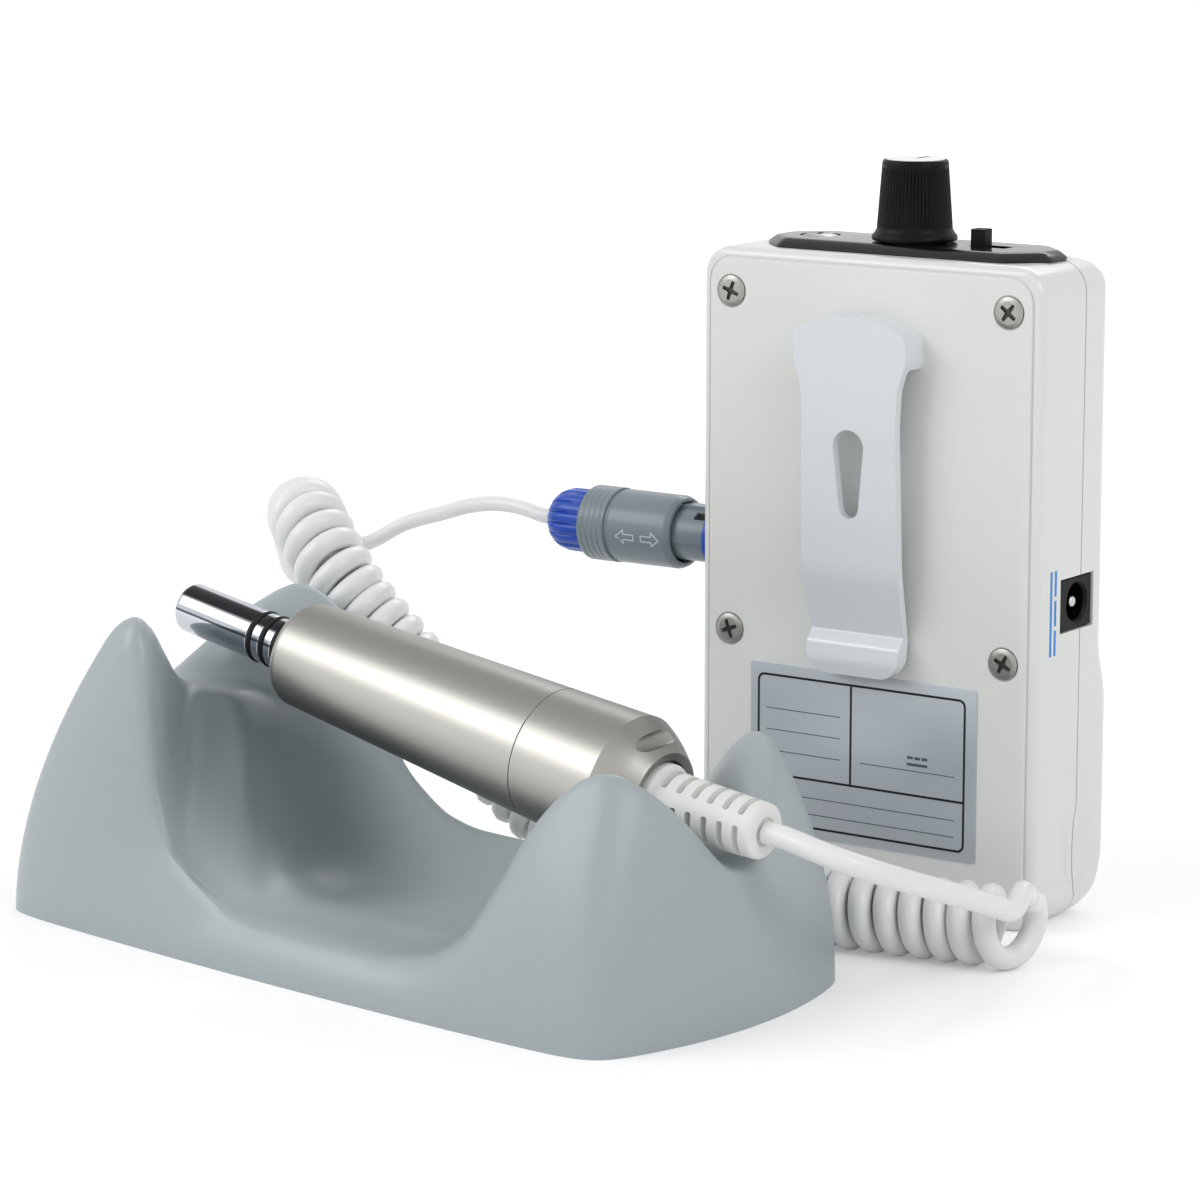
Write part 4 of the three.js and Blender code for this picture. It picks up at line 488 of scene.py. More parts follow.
def evaluated(helper: Piece) -> bpy.types.Mesh:
    """The mesh that an object's modifiers or curve settings make."""
    ready = helper.evaluated_get(bpy.context.evaluated_depsgraph_get())
    return bpy.data.meshes.new_from_object(ready)


def tidy(bm: Shape) -> Shape:
    """Merges doubles, closes what is open and turns the faces outwards.

    Args:
        bm: The mesh that is tidied.

    Returns:
        The same mesh.
    """
    bmesh.ops.remove_doubles(bm, verts=bm.verts[:], dist=WELD)
    rims = [edge for edge in bm.edges if edge.is_boundary]
    if rims:
        bmesh.ops.holes_fill(bm, edges=rims)
    bmesh.ops.recalc_face_normals(bm, faces=bm.faces[:])
    return bm


def rounded(outline: Sequence[Point2], radii: object, steps: int = 5, closed: bool = True) -> list[Point2]:
    """An outline with its corners rounded.

    Args:
        outline: The outline's corners.
        radii: One radius for all corners, or one for each.
        steps: Steps in each rounding.
        closed: Whether the last corner joins the first.

    Returns:
        The rounded outline.
    """
    made: list[Point2] = []
    count = len(outline)
    for i, corner in enumerate(outline):
        radius = radii[i] if isinstance(radii, (list, tuple)) else radii
        if radius <= 0 or (not closed and i in (0, count - 1)):
            made.append((corner[0], corner[1]))
            continue
        middle = Vector(corner)
        before = Vector(outline[i - 1]) - middle
        after = Vector(outline[(i + 1) % count]) - middle
        half = before.angle(after) / 2
        if half > radians(89.5):
            made.append((corner[0], corner[1]))
            continue
        reach = min(radius / tan(half), before.length * 0.499, after.length * 0.499)
        radius = reach * tan(half)
        before.normalize()
        after.normalize()
        centre = middle + (before + after).normalized() * (radius / sin(half))
        first = middle + before * reach - centre
        last = middle + after * reach - centre
        turn = atan2(first.x * last.y - first.y * last.x, first.dot(last))
        for k in range(steps + 1):
            angle = turn * k / steps
            made.append((
                centre.x + first.x * cos(angle) - first.y * sin(angle),
                centre.y + first.x * sin(angle) + first.y * cos(angle),
            ))
    return made


def arc(centre: Point2, radius: float, start: float, end: float, steps: int = 12) -> list[Point2]:
    """Points on an arc, with its angles in degrees."""
    angles = [radians(start + (end - start) * k / steps) for k in range(steps + 1)]
    return [(centre[0] + radius * cos(a), centre[1] + radius * sin(a)) for a in angles]


def oblong(left: float, right: float, low: float, high: float, radius: float, steps: int = 8) -> list[Point2]:
    """A rectangle's outline with rounded corners."""
    corners = [(left, low), (right, low), (right, high), (left, high)]
    return rounded(corners, radius, steps)


def turned(outline: Sequence[Point2], axis: Axis = Axis.X, centre: Sequence[float] = (0, 0, 0),
           steps: int = ROUND) -> Shape:
    """Spins an outline into a body of revolution.

    Args:
        outline: Points of place along the axis and radius, open or closed.
        axis: The axis.
        centre: A point on it.
        steps: Steps of the whole turn.

    Returns:
        The turned mesh.
    """
    along, out = axis.value
    bm = bmesh.new()
    middle = Vector(centre)
    loop = outline[0] == outline[-1]
    points = outline[:-1] if loop else outline
    chain = [bm.verts.new(middle + along * a + out * r) for a, r in points]
    edges = [bm.edges.new(pair) for pair in zip(chain, chain[1:])]
    if loop:
        edges.append(bm.edges.new((chain[-1], chain[0])))
    bmesh.ops.spin(bm, geom=chain + edges, cent=middle, axis=along, angle=tau, steps=steps,
                   use_merge=True)
    return tidy(bm)


def rod(axis: Axis, radius: float, start: float, end: float, centre: Sequence[float],
        steps: int = 48) -> Shape:
    """A plain cylinder between two places on an axis, as a tool for cutting."""
    return turned([(start, 0), (start, radius), (end, radius), (end, 0)], axis, centre, steps)


def prism(outline: Sequence[Point2], plane: Plane, start: float, end: float) -> Shape:
    """An outline drawn in a plane and extruded from one place to another.

    Args:
        outline: The outline's corners.
        plane: The plane that it is drawn in.
        start: Where the extrusion starts.
        end: Where it ends.

    Returns:
        The extruded mesh.
    """
    first, second, way = plane.value
    bm = bmesh.new()
    verts = [bm.verts.new(first * x + second * y + way * start) for x, y in outline]
    face = bm.faces.new(verts)
    made = bmesh.ops.extrude_face_region(bm, geom=[face])["geom"]
    moved = [part for part in made if isinstance(part, bmesh.types.BMVert)]
    bmesh.ops.translate(bm, verts=moved, vec=way * (end - start))
    return tidy(bm)


def block(x0: float, x1: float, y0: float, y1: float, z0: float, z1: float) -> Shape:
    """A plain box, as a tool for cutting."""
    return prism([(x0, y0), (x1, y0), (x1, y1), (x0, y1)], Plane.XY, z0, z1)


def loft(rings: Sequence[Sequence[Vector]]) -> Shape:
    """Draws a ring of points out from place to place, and closes it at both ends.

    Args:
        rings: Rings of equally many points.

    Returns:
        The lofted mesh.
    """
    bm = bmesh.new()
    count = len(rings[0])
    row = [bm.verts.new(point) for point in rings[0]]
    edges = [bm.edges.new((row[i], row[(i + 1) % count])) for i in range(count)]
    bm.faces.new(row)
    for ring in rings[1:]:
        order = {vert: i for i, vert in enumerate(row)}
        made = bmesh.ops.extrude_edge_only(bm, edges=edges)["geom"]
        fresh: list[Optional[bmesh.types.BMVert]] = [None] * count
        for vert in (part for part in made if isinstance(part, bmesh.types.BMVert)):
            for edge in vert.link_edges:
                below = edge.other_vert(vert)
                if below in order:
                    fresh[order[below]] = vert
        for vert, point in zip(fresh, ring):
            vert.co = point
        row = fresh
        edges = [bm.edges.get((row[i], row[(i + 1) % count])) for i in range(count)]
    bm.faces.new(row)
    bmesh.ops.recalc_face_normals(bm, faces=bm.faces[:])
    return bm


def merged(*parts: Shape) -> Shape:
    """Several shapes in one, freed as they are taken over."""
    return shape_of(*[mesh_of(part, "part") for part in parts])


def moved(bm: Shape, matrix: Matrix) -> Shape:
    """The mesh, turned and moved by a matrix."""
    bmesh.ops.transform(bm, matrix=matrix, verts=bm.verts[:])
    return bm


def soften_front(bm: Shape, face: float, width: float, steps: int) -> None:
    """Rounds the sharp edges of a plate's front face.

    Args:
        bm: The plate's mesh.
        face: Where its front face lies along y.
        width: The rounding's width.
        steps: Its steps.
    """
    edges = [edge for edge in bm.edges if edge.is_manifold and edge.calc_face_angle(0) > radians(30)
             and all(vert.co.y < face + WELD for vert in edge.verts)]
    bmesh.ops.bevel(bm, geom=edges, offset=width, affect="EDGES", segments=steps, profile=0.5,
                    material=-1, offset_type="OFFSET", clamp_overlap=True)


def carve(body: Shape, *steps: tuple[Cut, Shape]) -> Shape:
    """Cuts, joins or trims a mesh with tool meshes, in order.

    Args:
        body: The mesh that is changed.
        *steps: What is done with each tool, and the tool.

    Returns:
        The changed mesh.
    """
    helpers = [linked("carving", mesh_of(bm, "carving")) for bm in (body, *(tool for _, tool in steps))]
    for (how, _), helper in zip(steps, helpers[1:]):
        modifier = helpers[0].modifiers.new("carve", "BOOLEAN")
        modifier.solver = "EXACT"
        modifier.operation = how.value
        modifier.object = helper
    result = shape_of(evaluated(helpers[0]))
    for helper in helpers:
        mesh = helper.data
        bpy.data.objects.remove(helper)
        bpy.data.meshes.remove(mesh)
    bmesh.ops.remove_doubles(result, verts=result.verts[:], dist=WELD)
    bmesh.ops.dissolve_degenerate(result, edges=result.edges[:], dist=WELD)
    return result


def cut(body: Shape, *tools: Shape) -> Shape:
    """Cuts tool meshes away from a mesh, in order."""
    return carve(body, *[(Cut.AWAY, tool) for tool in tools])


def publish(bm: Shape, name: str, finish: Finish, body: str, *nodes: str,
            crease: float = 35.0, edge: float = 0.0) -> Piece:
    """Makes a finished piece of the object out of a mesh in millimetres.

    Args:
        bm: The mesh, which is freed.
        name: The piece's name.
        finish: Its finish.
        body: The body that it rides on, or an empty string for none.
        *nodes: The solids that it stands for.
        crease: The angle from which an edge stays sharp, in degrees.
        edge: Width of the small rounding on sharp edges, 0 for none.

    Returns:
        The piece.
    """
    bmesh.ops.scale(bm, vec=(MM, MM, MM), verts=bm.verts[:])
    mesh = mesh_of(bm, name)
    mesh.polygons.foreach_set("use_smooth", [True] * len(mesh.polygons))
    mesh.set_sharp_from_angle(angle=radians(crease))
    piece = linked(name, mesh)
    mesh.materials.append(finish.material())
    if edge > 0:
        soften = piece.modifiers.new("soften", "BEVEL")
        soften.width = edge * MM
        soften.segments = 3
        soften.limit_method = "ANGLE"
        soften.angle_limit = radians(crease)
        soften.harden_normals = True
    if nodes:
        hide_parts(*nodes)
    if body:
        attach(piece, body)
    LOG.info("%s: %d faces, %s", name, len(mesh.polygons), finish.name)
    return piece


def follow(table: Sequence[Point2], place: float) -> float:
    """A smooth curve without overshoot through (place, value) points.

    Args:
        table: The points, in order of place.
        place: Where the curve is read.

    Returns:
        The curve's value there.
    """
    last = len(table) - 1
    if place <= table[0][0]:
        return table[0][1]
    if place >= table[last][0]:
        return table[last][1]
    i = next(k for k, point in enumerate(table) if point[0] > place) - 1

    def slope(k: int) -> float:
        """The slope between two neighbouring points."""
        return (table[k + 1][1] - table[k][1]) / (table[k + 1][0] - table[k][0])

    def tangent(k: int) -> float:
        """The slope of the curve at a point.

        Args:
            k: The point's number.

        Returns:
            The slope.
        """
        if k == 0:
            return slope(0)
        if k == last:
            return slope(last - 1)
        before, after = slope(k - 1), slope(k)
        return 0.0 if before * after <= 0 else 2 * before * after / (before + after)

    span = table[i + 1][0] - table[i][0]
    t = (place - table[i][0]) / span
    return (
        (2 * t ** 3 - 3 * t ** 2 + 1) * table[i][1] + (t ** 3 - 2 * t ** 2 + t) * span * tangent(i)
        + (3 * t ** 2 - 2 * t ** 3) * table[i + 1][1] + (t ** 3 - t ** 2) * span * tangent(i + 1)
    )


# Studio --------------------------------------------------------------

@dataclass
class Studio:
    """Camera, lamps, world and floor."""

    lens: float = 131.58
    sensor: float = 36.0
    eye: Point3 = (403.9, -660.6, 199.4)
    turn: Point3 = (79.35, 0.0, 35.44)
    # Farthest distance that the camera sees, in metres
    farthest: float = 20.0
    # Strength of the world as it lights the set, and as the camera sees it
    ambient: float = 0.56
    backdrop: float = 1.0
    floor_half: float = 2500.0
    paper: float = 0.93
    # The floor's glow near and far, and the distances from the origin in metres where it starts and ends
    glow: Point2 = (0.22, 0.6)
    glow_reach: Point2 = (0.15, 1.1)
    # Each lamp's place and aim in millimetres, width, height and power
    lamps: tuple = (
        ("key_lamp", (-820, -1000, 820), (-40, -60, 50), 1000, 700, 7.4),
        ("right_lamp", (1100, -350, 800), (-20, -40, 60), 600, 500, 4.2),
        ("back_lamp", (-250, 900, 900), (-20, -20, 60), 800, 300, 3.0),
    )

    def camera(self) -> None:
        """Places the camera where the photograph was taken from."""
        data = bpy.data.cameras.new("camera")
        data.lens = self.lens
        data.sensor_width = self.sensor
        data.clip_end = self.farthest
        camera = linked("camera", data)
        camera.location = Vector(self.eye) * MM
        camera.rotation_euler = [radians(angle) for angle in self.turn]
        bpy.context.scene.camera = camera

    def light(self) -> None:
        """Lights the set from soft lamps and an even pale world."""
        scene = bpy.context.scene
        scene.view_settings.view_transform = "Standard"
        for name, eye, aim, width, height, power in self.lamps:
            data = bpy.data.lights.new(name, "AREA")
            data.shape = "RECTANGLE"
            data.size = width * MM
            data.size_y = height * MM
            data.energy = power
            lamp = linked(name, data)
            lamp.location = Vector(eye) * MM
            lamp.rotation_euler = (Vector(aim) - Vector(eye)).to_track_quat("-Z", "Y").to_euler()
        world = bpy.data.worlds.new("studio")
        scene.world = world
        tree, surface = fresh_tree(world, "World")
        lit, shown = (
            add_node(tree, "Background", {"Color": (1, 1, 1, 1), "Strength": strength}).outputs[0]
            for strength in (self.ambient, self.backdrop)
        )
        mix = add_node(tree, "MixShader", {0: self._seen(tree), 1: lit, 2: shown})
        tree.links.new(mix.outputs[0], surface)

    @staticmethod
    def _seen(tree: Tree) -> Socket:
        """1 where the camera sees a surface straight, in a reflection or through glass."""
        path = add_node(tree, "LightPath", {}).outputs
        glossy = math_node(tree, "MAXIMUM", path["Is Glossy Ray"], path["Is Transmission Ray"])
        return math_node(tree, "MAXIMUM", path["Is Camera Ray"], glossy)

    def floor(self) -> None:
        """Lays the pale floor, which keeps the object's shadow."""
        bm = bmesh.new()
        bmesh.ops.create_grid(bm, x_segments=1, y_segments=1, size=self.floor_half * MM)
        mesh = mesh_of(bm, "floor")
        floor = linked("floor", mesh)
        material = bpy.data.materials.new("floor_paper")
        tree, surface = fresh_tree(material, "Material")
        place = add_node(tree, "TexCoord", {}).outputs["Object"]
        fade = ramp_node(tree, length_node(tree, place), self.glow_reach, self.glow)
        glow = add_node(tree, "Emission", {"Strength": math_node(tree, "MULTIPLY", self._seen(tree), fade)})
        paper = add_node(tree, "BsdfDiffuse", {"Color": (self.paper, self.paper, self.paper, 1)})
        both = add_node(tree, "AddShader", {0: paper.outputs[0], 1: glow.outputs[0]})
        tree.links.new(both.outputs[0], surface)
        mesh.materials.append(material)


# Cords ---------------------------------------------------------------

@dataclass
class Route:
    """A smooth centripetal curve through given points, in millimetres."""

    points: Sequence[Vector]
    divisions: int = 400

    def __post_init__(self) -> None:
        """Measures the curve."""
        steps = [self.at(i / self.divisions) for i in range(self.divisions + 1)]
        self.travel = [0.0]
        for before, after in zip(steps, steps[1:]):
            self.travel.append(self.travel[-1] + (after - before).length)

    def at(self, t: float) -> Vector:
        """The point at a share of the curve's parameter.

        Args:
            t: The parameter, from 0 to 1.

        Returns:
            The point.
        """
        last = len(self.points) - 1
        place = min(max(t, 0.0), 1.0) * last
        i = min(int(place), last - 1)
        share = place - i
        p1, p2 = self.points[i], self.points[i + 1]
        p0 = self.points[i - 1] if i > 0 else p1 * 2 - p2
        p3 = self.points[i + 2] if i + 2 <= last else p2 * 2 - p1
        d0, d1, d2 = (max((b - a).length, 1e-4) ** 0.5 for a, b in ((p0, p1), (p1, p2), (p2, p3)))
        m1 = ((p1 - p0) / d0 - (p2 - p0) / (d0 + d1) + (p2 - p1) / d1) * d1
        m2 = ((p2 - p1) / d1 - (p3 - p1) / (d1 + d2) + (p3 - p2) / d2) * d1
        return (
            p1 + m1 * share + (p1 * -3 + p2 * 3 - m1 * 2 - m2) * share ** 2
            + (p1 * 2 - p2 * 2 + m1 + m2) * share ** 3
        )

    def parameter(self, share: float) -> float:
        """The curve's parameter at a share of its length.

        Args:
            share: The share, from 0 to 1.

        Returns:
            The parameter, from 0 to 1.
        """
        goal = share * self.travel[-1]
        for i in range(1, len(self.travel)):
            if self.travel[i] >= goal:
                step = self.travel[i] - self.travel[i - 1]
                part = (goal - self.travel[i - 1]) / step if step > 0 else 0.0
                return (i - 1 + part) / self.divisions
        return 1.0

    def heading(self, t: float) -> Vector:
        """The curve's direction at a share of its parameter."""
        nudge = 1e-4
        return (self.at(min(t + nudge, 1.0)) - self.at(max(t - nudge, 0.0))).normalized()


def cord_mesh(name: str, points: Sequence[Vector], radius: float, around: int) -> Piece:
    """A tube of one unbroken sheath along a path, closed at both ends.

    Args:
        name: The piece's name.
        points: The path, in millimetres.
        radius: The sheath's radius.
        around: Steps in a quarter of the section.

    Returns:
        The piece, a mesh in metres.
    """
    data = bpy.data.curves.new(name, "CURVE")
    data.dimensions = "3D"
    data.bevel_depth = radius * MM
    data.bevel_resolution = around
    data.use_fill_caps = True
    spline = data.splines.new("POLY")
    spline.points.add(len(points) - 1)
    for knot, point in zip(spline.points, points):
        knot.co = (*(point * MM), 1.0)
    helper = linked(name + "_line", data)
    bm = shape_of(evaluated(helper))
    bpy.data.objects.remove(helper)
    bpy.data.curves.remove(data)
    bmesh.ops.scale(bm, vec=(1 / MM, 1 / MM, 1 / MM), verts=bm.verts[:])
    return publish(tidy(bm), name, CORD_WHITE, "", name, crease=60)


@dataclass
class CurlyCord:
    """The cord from the handpiece's boot to the plug: a lead, the curls and a thin lead.

    The solid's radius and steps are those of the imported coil, whose ends the leads still meet.
    """

    lead_radius: float = 1.95
    thin_radius: float = 1.45
    curl_radius: float = 5.2
    sheath_radius: float = 2.08
    solid_radius: float = 1.65
    turns: int = 47
    floor_turns: int = 20
    first_share: float = 1.75
    arch_share: float = 0.95
    start_angle: float = radians(5)
    solid_steps: int = 8
    fine_steps: int = 24
    samples: int = 400
    lead_steps: int = 38
    axis_points: tuple = (
        (46.5, -33.2, 7.25), (37, -33.6, 7.25), (14, -37.1, 7.25), (-9, -37.6, 7.25), (-30, -37.6, 8.2),
        (-48, -38.1, 14.2), (-64, -40.1, 26.5), (-78, -42.6, 39.8), (-88.6, -44, 49.7),
        (-95.8, -43.7, 57.3), (-104, -39.5, 63.4), (-112.5, -30.5, 62.8), (-119.5, -20.5, 57.5),
        (-124.5, -12.5, 50.5),
    )
    lead_points: tuple = (
        (40.8, -86.6, 30.2), (46.6, -81, 27.2), (49.8, -72, 23.6), (50.7, -61, 19.6), (50.2, -51, 16),
        (48.9, -43, 13.6),
    )
    thin_points: tuple = (
        (-80.5, -3.45, 63.3), (-87, -3.3, 63.7), (-94, -2.7, 62.7), (-102, -1.9, 60.3), (-111, -2, 57.4),
    )

    def __post_init__(self) -> None:
        """Lays the frames of the coil's middle line."""
        route = Route([Vector(point) for point in self.axis_points])
        normal = UP
        self.frames = []
        for i in range(self.samples + 1):
            t = route.parameter(i / self.samples)
            tangent = route.heading(t)
            normal = (normal - tangent * normal.dot(tangent)).normalized()
            self.frames.append((route.at(t), normal, tangent.cross(normal)))

    def _travel(self, turn: float) -> float:
        """How far along the middle line a turn lies, in plain pitches."""
        arch = max(turn - self.floor_turns, 0.0) * (self.arch_share - 1)
        return turn + min(turn, 1.0) * (self.first_share - 1) + arch

    def curl(self, turn: float) -> Vector:
        """The sheath's centre at a number of turns.

        Args:
            turn: The number of turns from the start.

        Returns:
            The centre.
        """
        place = self.samples * self._travel(turn) / self._travel(self.turns)
        low = min(int(place), self.samples - 1)
        centre, normal, side = (
            a.lerp(b, place - low) for a, b in zip(self.frames[low], self.frames[low + 1]))
        angle = self.start_angle + tau * turn
        out = (normal * cos(angle) + side * sin(angle)).normalized()
        return centre + out * self.curl_radius

    def build(self, boot_ahead: Vector, boot_tip: Vector, nut_end: Vector) -> None:
        """Args:
            boot_ahead: The way in which the cord leaves the boot.
            boot_tip: Where it leaves it.
            nut_end: Where the thin lead leaves the plug's nut.
        """
        step = 1 / self.solid_steps
        start, end = self.curl(0), self.curl(self.turns)
        start_way = (start - self.curl(step)).normalized()
        end_way = (end - self.curl(self.turns - step)).normalized()
        straight = 2 * self.solid_radius
        coil_start = start + start_way * (straight + GAP)
        coil_end = end + end_way * (straight + GAP)
        count = self.turns * self.fine_steps
        curls = [self.curl(self.turns * k / count) for k in range(count + 1)]
        path = [coil_start, *curls, coil_end]
        coil = cord_mesh("cord_coil", path, self.sheath_radius, 3)
        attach(coil, "base")
        self._declare(coil, path, self.sheath_radius, "coiled")

        lead = self._stretch(
            boot_tip, boot_ahead, self.lead_points, coil_start, start_way, self.lead_radius)
        piece = cord_mesh("motor_lead", lead, self.lead_radius, 5)
        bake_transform(piece)
        self._declare(piece, lead, self.lead_radius, "loose")

        thin = self._stretch(nut_end, -RIGHT, self.thin_points, coil_end, end_way, self.thin_radius)
        piece = cord_mesh("plug_lead", thin, self.thin_radius, 4)
        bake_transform(piece)
        self._declare(piece, thin, self.thin_radius, "loose")

    def _stretch(self, start: Vector, ahead: Vector, through: Sequence, end: Vector, end_way: Vector,
                 radius: float) -> list[Vector]:
        """A free stretch, straight for a diameter at both ends.

        Args:
            start: Its first point.
            ahead: The way in which it leaves there.
            through: Points that it passes.
            end: Its last point.
            end_way: The way from there back along it.
            radius: Its sheath's radius.

        Returns:
            Its points.
        """
        straight = 2 * radius
        route = Route([
            start, start + ahead * straight, *[Vector(point) for point in through],
            end + end_way * straight, end,
        ])
        steps = self.lead_steps
        return [route.at(route.parameter(k / steps)) for k in range(steps + 1)]

    @staticmethod
    def _declare(piece: Piece, path: Sequence[Vector], radius: float, lay: str) -> None:
        """Takes a stretch of cord and does nothing with it.

        Args:
            piece: The stretch; not used.
            path: Its middle line; not used.
            radius: Its sheath's radius; not used.
            lay: How it lies; not used.
        """


# Control box ---------------------------------------------------------

@dataclass
class ControlCase:
    """The white two-part case with its screws and its label."""

    width: float = 70.0
    depth: float = 24.8
    height: float = 117.0
    wall: float = 2.0
    side_round: float = 5.5
    clip_round: float = 1.6
    front_round: float = 4.0
    inner_round: float = 0.6
    foot_round: float = 12.0
    bay_swell: float = 2.4
    bay_top: float = 38.0
    bay_blend: float = 11.0
    clip_face: float = -12.2
    seam: float = 2.7
    panel_rim: float = 2.0
    panel_rise: float = 0.4
    # The fine line round the panel: how far outside the panel it starts and ends, and its depth
    groove_sides: Point2 = (0.4, 0.05)
    groove_depth: float = 0.14
    grip_high: float = 17.0
    grip_wide: float = 7.0
    grip_low: float = 3.7
    grip_deep: float = 0.7
    screw_side: float = 28.5
    screw_high: float = 109.1
    screw_pitch: float = 61.3
    head_radius: float = 2.8
    head_seat: float = 0.3
    # How each screw is turned, in degrees, and a quarter of its cross recess
    screw_turns: tuple = (20, 38, 70, 28)
    recess_quarter: tuple = ((0.48, 0.48), (2.0, 0.36), (2.0, -0.36))
    recess_depth: float = 0.14
    recess_taper: float = 0.8
    label: Point4 = (-23.7, 23.6, 11.3, 42.6)
    label_thick: float = 0.15
    frame_box: Point4 = (-22.2, 21.3, 13.0, 40.6)
    rule_width: float = 0.42
    post_x: float = -2.4
    shelf_z: float = 22.1
    # Left, right, low and high side of the writing lines and of the four bars of the supply sign
    printed: tuple = (
        (-20.3, -4.6, 34.2, 34.36), (-20.3, -4.6, 30.3, 30.46), (-20.3, -4.6, 26.4, 26.56),
        (-0.4, 19.2, 26.4, 26.56), (-20.3, 19.2, 18.6, 18.76), (-20.3, 19.2, 15.6, 15.76),
        (9.4, 13.6, 27.4, 27.9), (9.4, 10.6, 28.6, 29.1), (10.9, 12.1, 28.6, 29.1), (12.4, 13.6, 28.6, 29.1),
    )

    @property
    def panel_face(self) -> float:
        """Where the raised panel's face lies."""
        return self.clip_face - self.panel_rise

    def _ring(self, z: float, inset: float, steps: int) -> list[Vector]:
        """One level of the case's form, drawn in by an inset on every side.

        Args:
            z: The level's height.
            inset: How far it is drawn in.
            steps: Steps in each rounding.

        Returns:
            The level's ring of points.
        """
        def edge(radius: float, distance: float) -> float:
            """How far a rounded edge draws in at a distance from its end."""
            size = max(radius - inset, self.inner_round)
            left = size - max(distance, 0.0)
            return 0.0 if left <= 0 else size - sqrt(max(size * size - left * left, 0.0))

        low, high = z - inset, self.height - inset - z
        t = min(max((self.bay_top + self.bay_blend - z) / self.bay_blend, 0.0), 1.0)
        swell = self.bay_swell * t * t * (3 - 2 * t)
        half = self.width / 2 - inset - edge(self.side_round, low) - edge(self.side_round, high)
        near = self.clip_face + inset + edge(self.clip_round, low) + edge(self.clip_round, high)
        far = (self.clip_face + self.depth + swell - inset - edge(self.foot_round, low)
               - edge(self.front_round, high))
        ring = []
        for x, y, radius, quarter in (
            (half, far, self.front_round, 0), (-half, far, self.front_round, 1),
            (-half, near, self.clip_round, 2), (half, near, self.clip_round, 3),
        ):
            size = max(radius - inset, self.inner_round)
            for k in range(steps + 1):
                angle = radians(90 * (quarter + k / steps))
                ring.append(Vector((
                    x - copysign(size, x) + size * cos(angle),
                    y + (-size if quarter < 2 else size) + size * sin(angle),
                    z,
                )))
        return ring

    def _form(self, inset: float, steps: int) -> Shape:
        """The whole case's form as one closed body.

        Args:
            inset: How far it is drawn in.
            steps: Steps in each rounding.

        Returns:
            The form.
        """
        places = {inset, self.height - inset}
        for radius in (self.foot_round, self.side_round, self.clip_round, self.front_round):
            size = max(radius - inset, self.inner_round)
            for k in range(1, steps + 1):
                rise = size * (1 - cos(pi / 2 * k / steps))
                places.add(round(inset + rise, 4))
                if radius != self.foot_round:
                    places.add(round(self.height - inset - rise, 4))
        places.update(self.bay_top + self.bay_blend * k / steps for k in range(steps + 1))
        levels = []
        for z in sorted(places):
            if not levels or z - levels[-1] > 0.02:
                levels.append(z)
        return loft([self._ring(z, inset, steps) for z in levels])

    def _slab(self, rim: float, start: float, end: float) -> Shape:
        """A plate in the case's outline.

        Args:
            rim: How far it is drawn in.
            start: The depth where it starts.
            end: The depth where it ends.

        Returns:
            The plate.
        """
        half = self.width / 2 - rim
        outline = oblong(-half, half, rim, self.height - rim, self.side_round - rim / 2)
        return prism(outline, Plane.XZ, start, end)

    def screws(self) -> list[Point2]:
        """The four screws' places across and up."""
        heights = (self.screw_high, self.screw_high - self.screw_pitch)
        return [(sign * self.screw_side, height) for height in heights for sign in (-1, 1)]

    def build(self, openings: Sequence[Callable[[], Shape]]) -> None:
        """Makes the two shells.

        Args:
            openings: Makers of the tools that cut holes through the walls.
        """
        half, face = self.width / 2, self.panel_face
        far = self.clip_face + self.depth + self.bay_swell + OVERRUN
        panel = self._slab(self.panel_rim, face, self.clip_face + self.wall / 2)
        soften_front(panel, face, 0.2, 3)
        sides = []
        for sign in (-1, 1):
            dish = bmesh.new()
            bmesh.ops.create_uvsphere(dish, u_segments=48, v_segments=32, radius=1)
            size = (2 * self.grip_deep, self.grip_wide / sqrt(3), self.grip_high / sqrt(3))
            bmesh.ops.scale(dish, vec=size, verts=dish.verts[:])
            bmesh.ops.translate(dish, verts=dish.verts[:], vec=(
                sign * (half + self.grip_deep), self.seam, self.grip_low + self.grip_high / 2))
            sides.append(dish)
        seats = [
            rod(Axis.Y, self.head_radius + HEAD_SLACK, face - OVERRUN, face + self.head_seat, (x, 0, z))
            for x, z in self.screws()
        ]
        line = cut(*[
            self._slab(self.panel_rim - out, self.clip_face - OVERRUN, self.clip_face + self.groove_depth)
            for out in self.groove_sides
        ])
        hollow = carve(self._form(0, 8), (Cut.AWAY, line), (Cut.JOIN, panel),
                       (Cut.AWAY, self._form(self.wall, 3)), (Cut.AWAY, merged(*sides, *seats)))
        for name, near, end in (
            ("rear_shell", face - OVERRUN, self.seam - GAP / 2), ("front_shell", self.seam + GAP / 2, far),
        ):
            room = block(-half - OVERRUN, half + OVERRUN, near, end, -OVERRUN, self.height + OVERRUN)
            shell = carve(hollow.copy(), (Cut.KEEP, room), *[(Cut.AWAY, make()) for make in openings])
            publish(shell, name, CASE_WHITE, "base", name, crease=28)
        hollow.free()

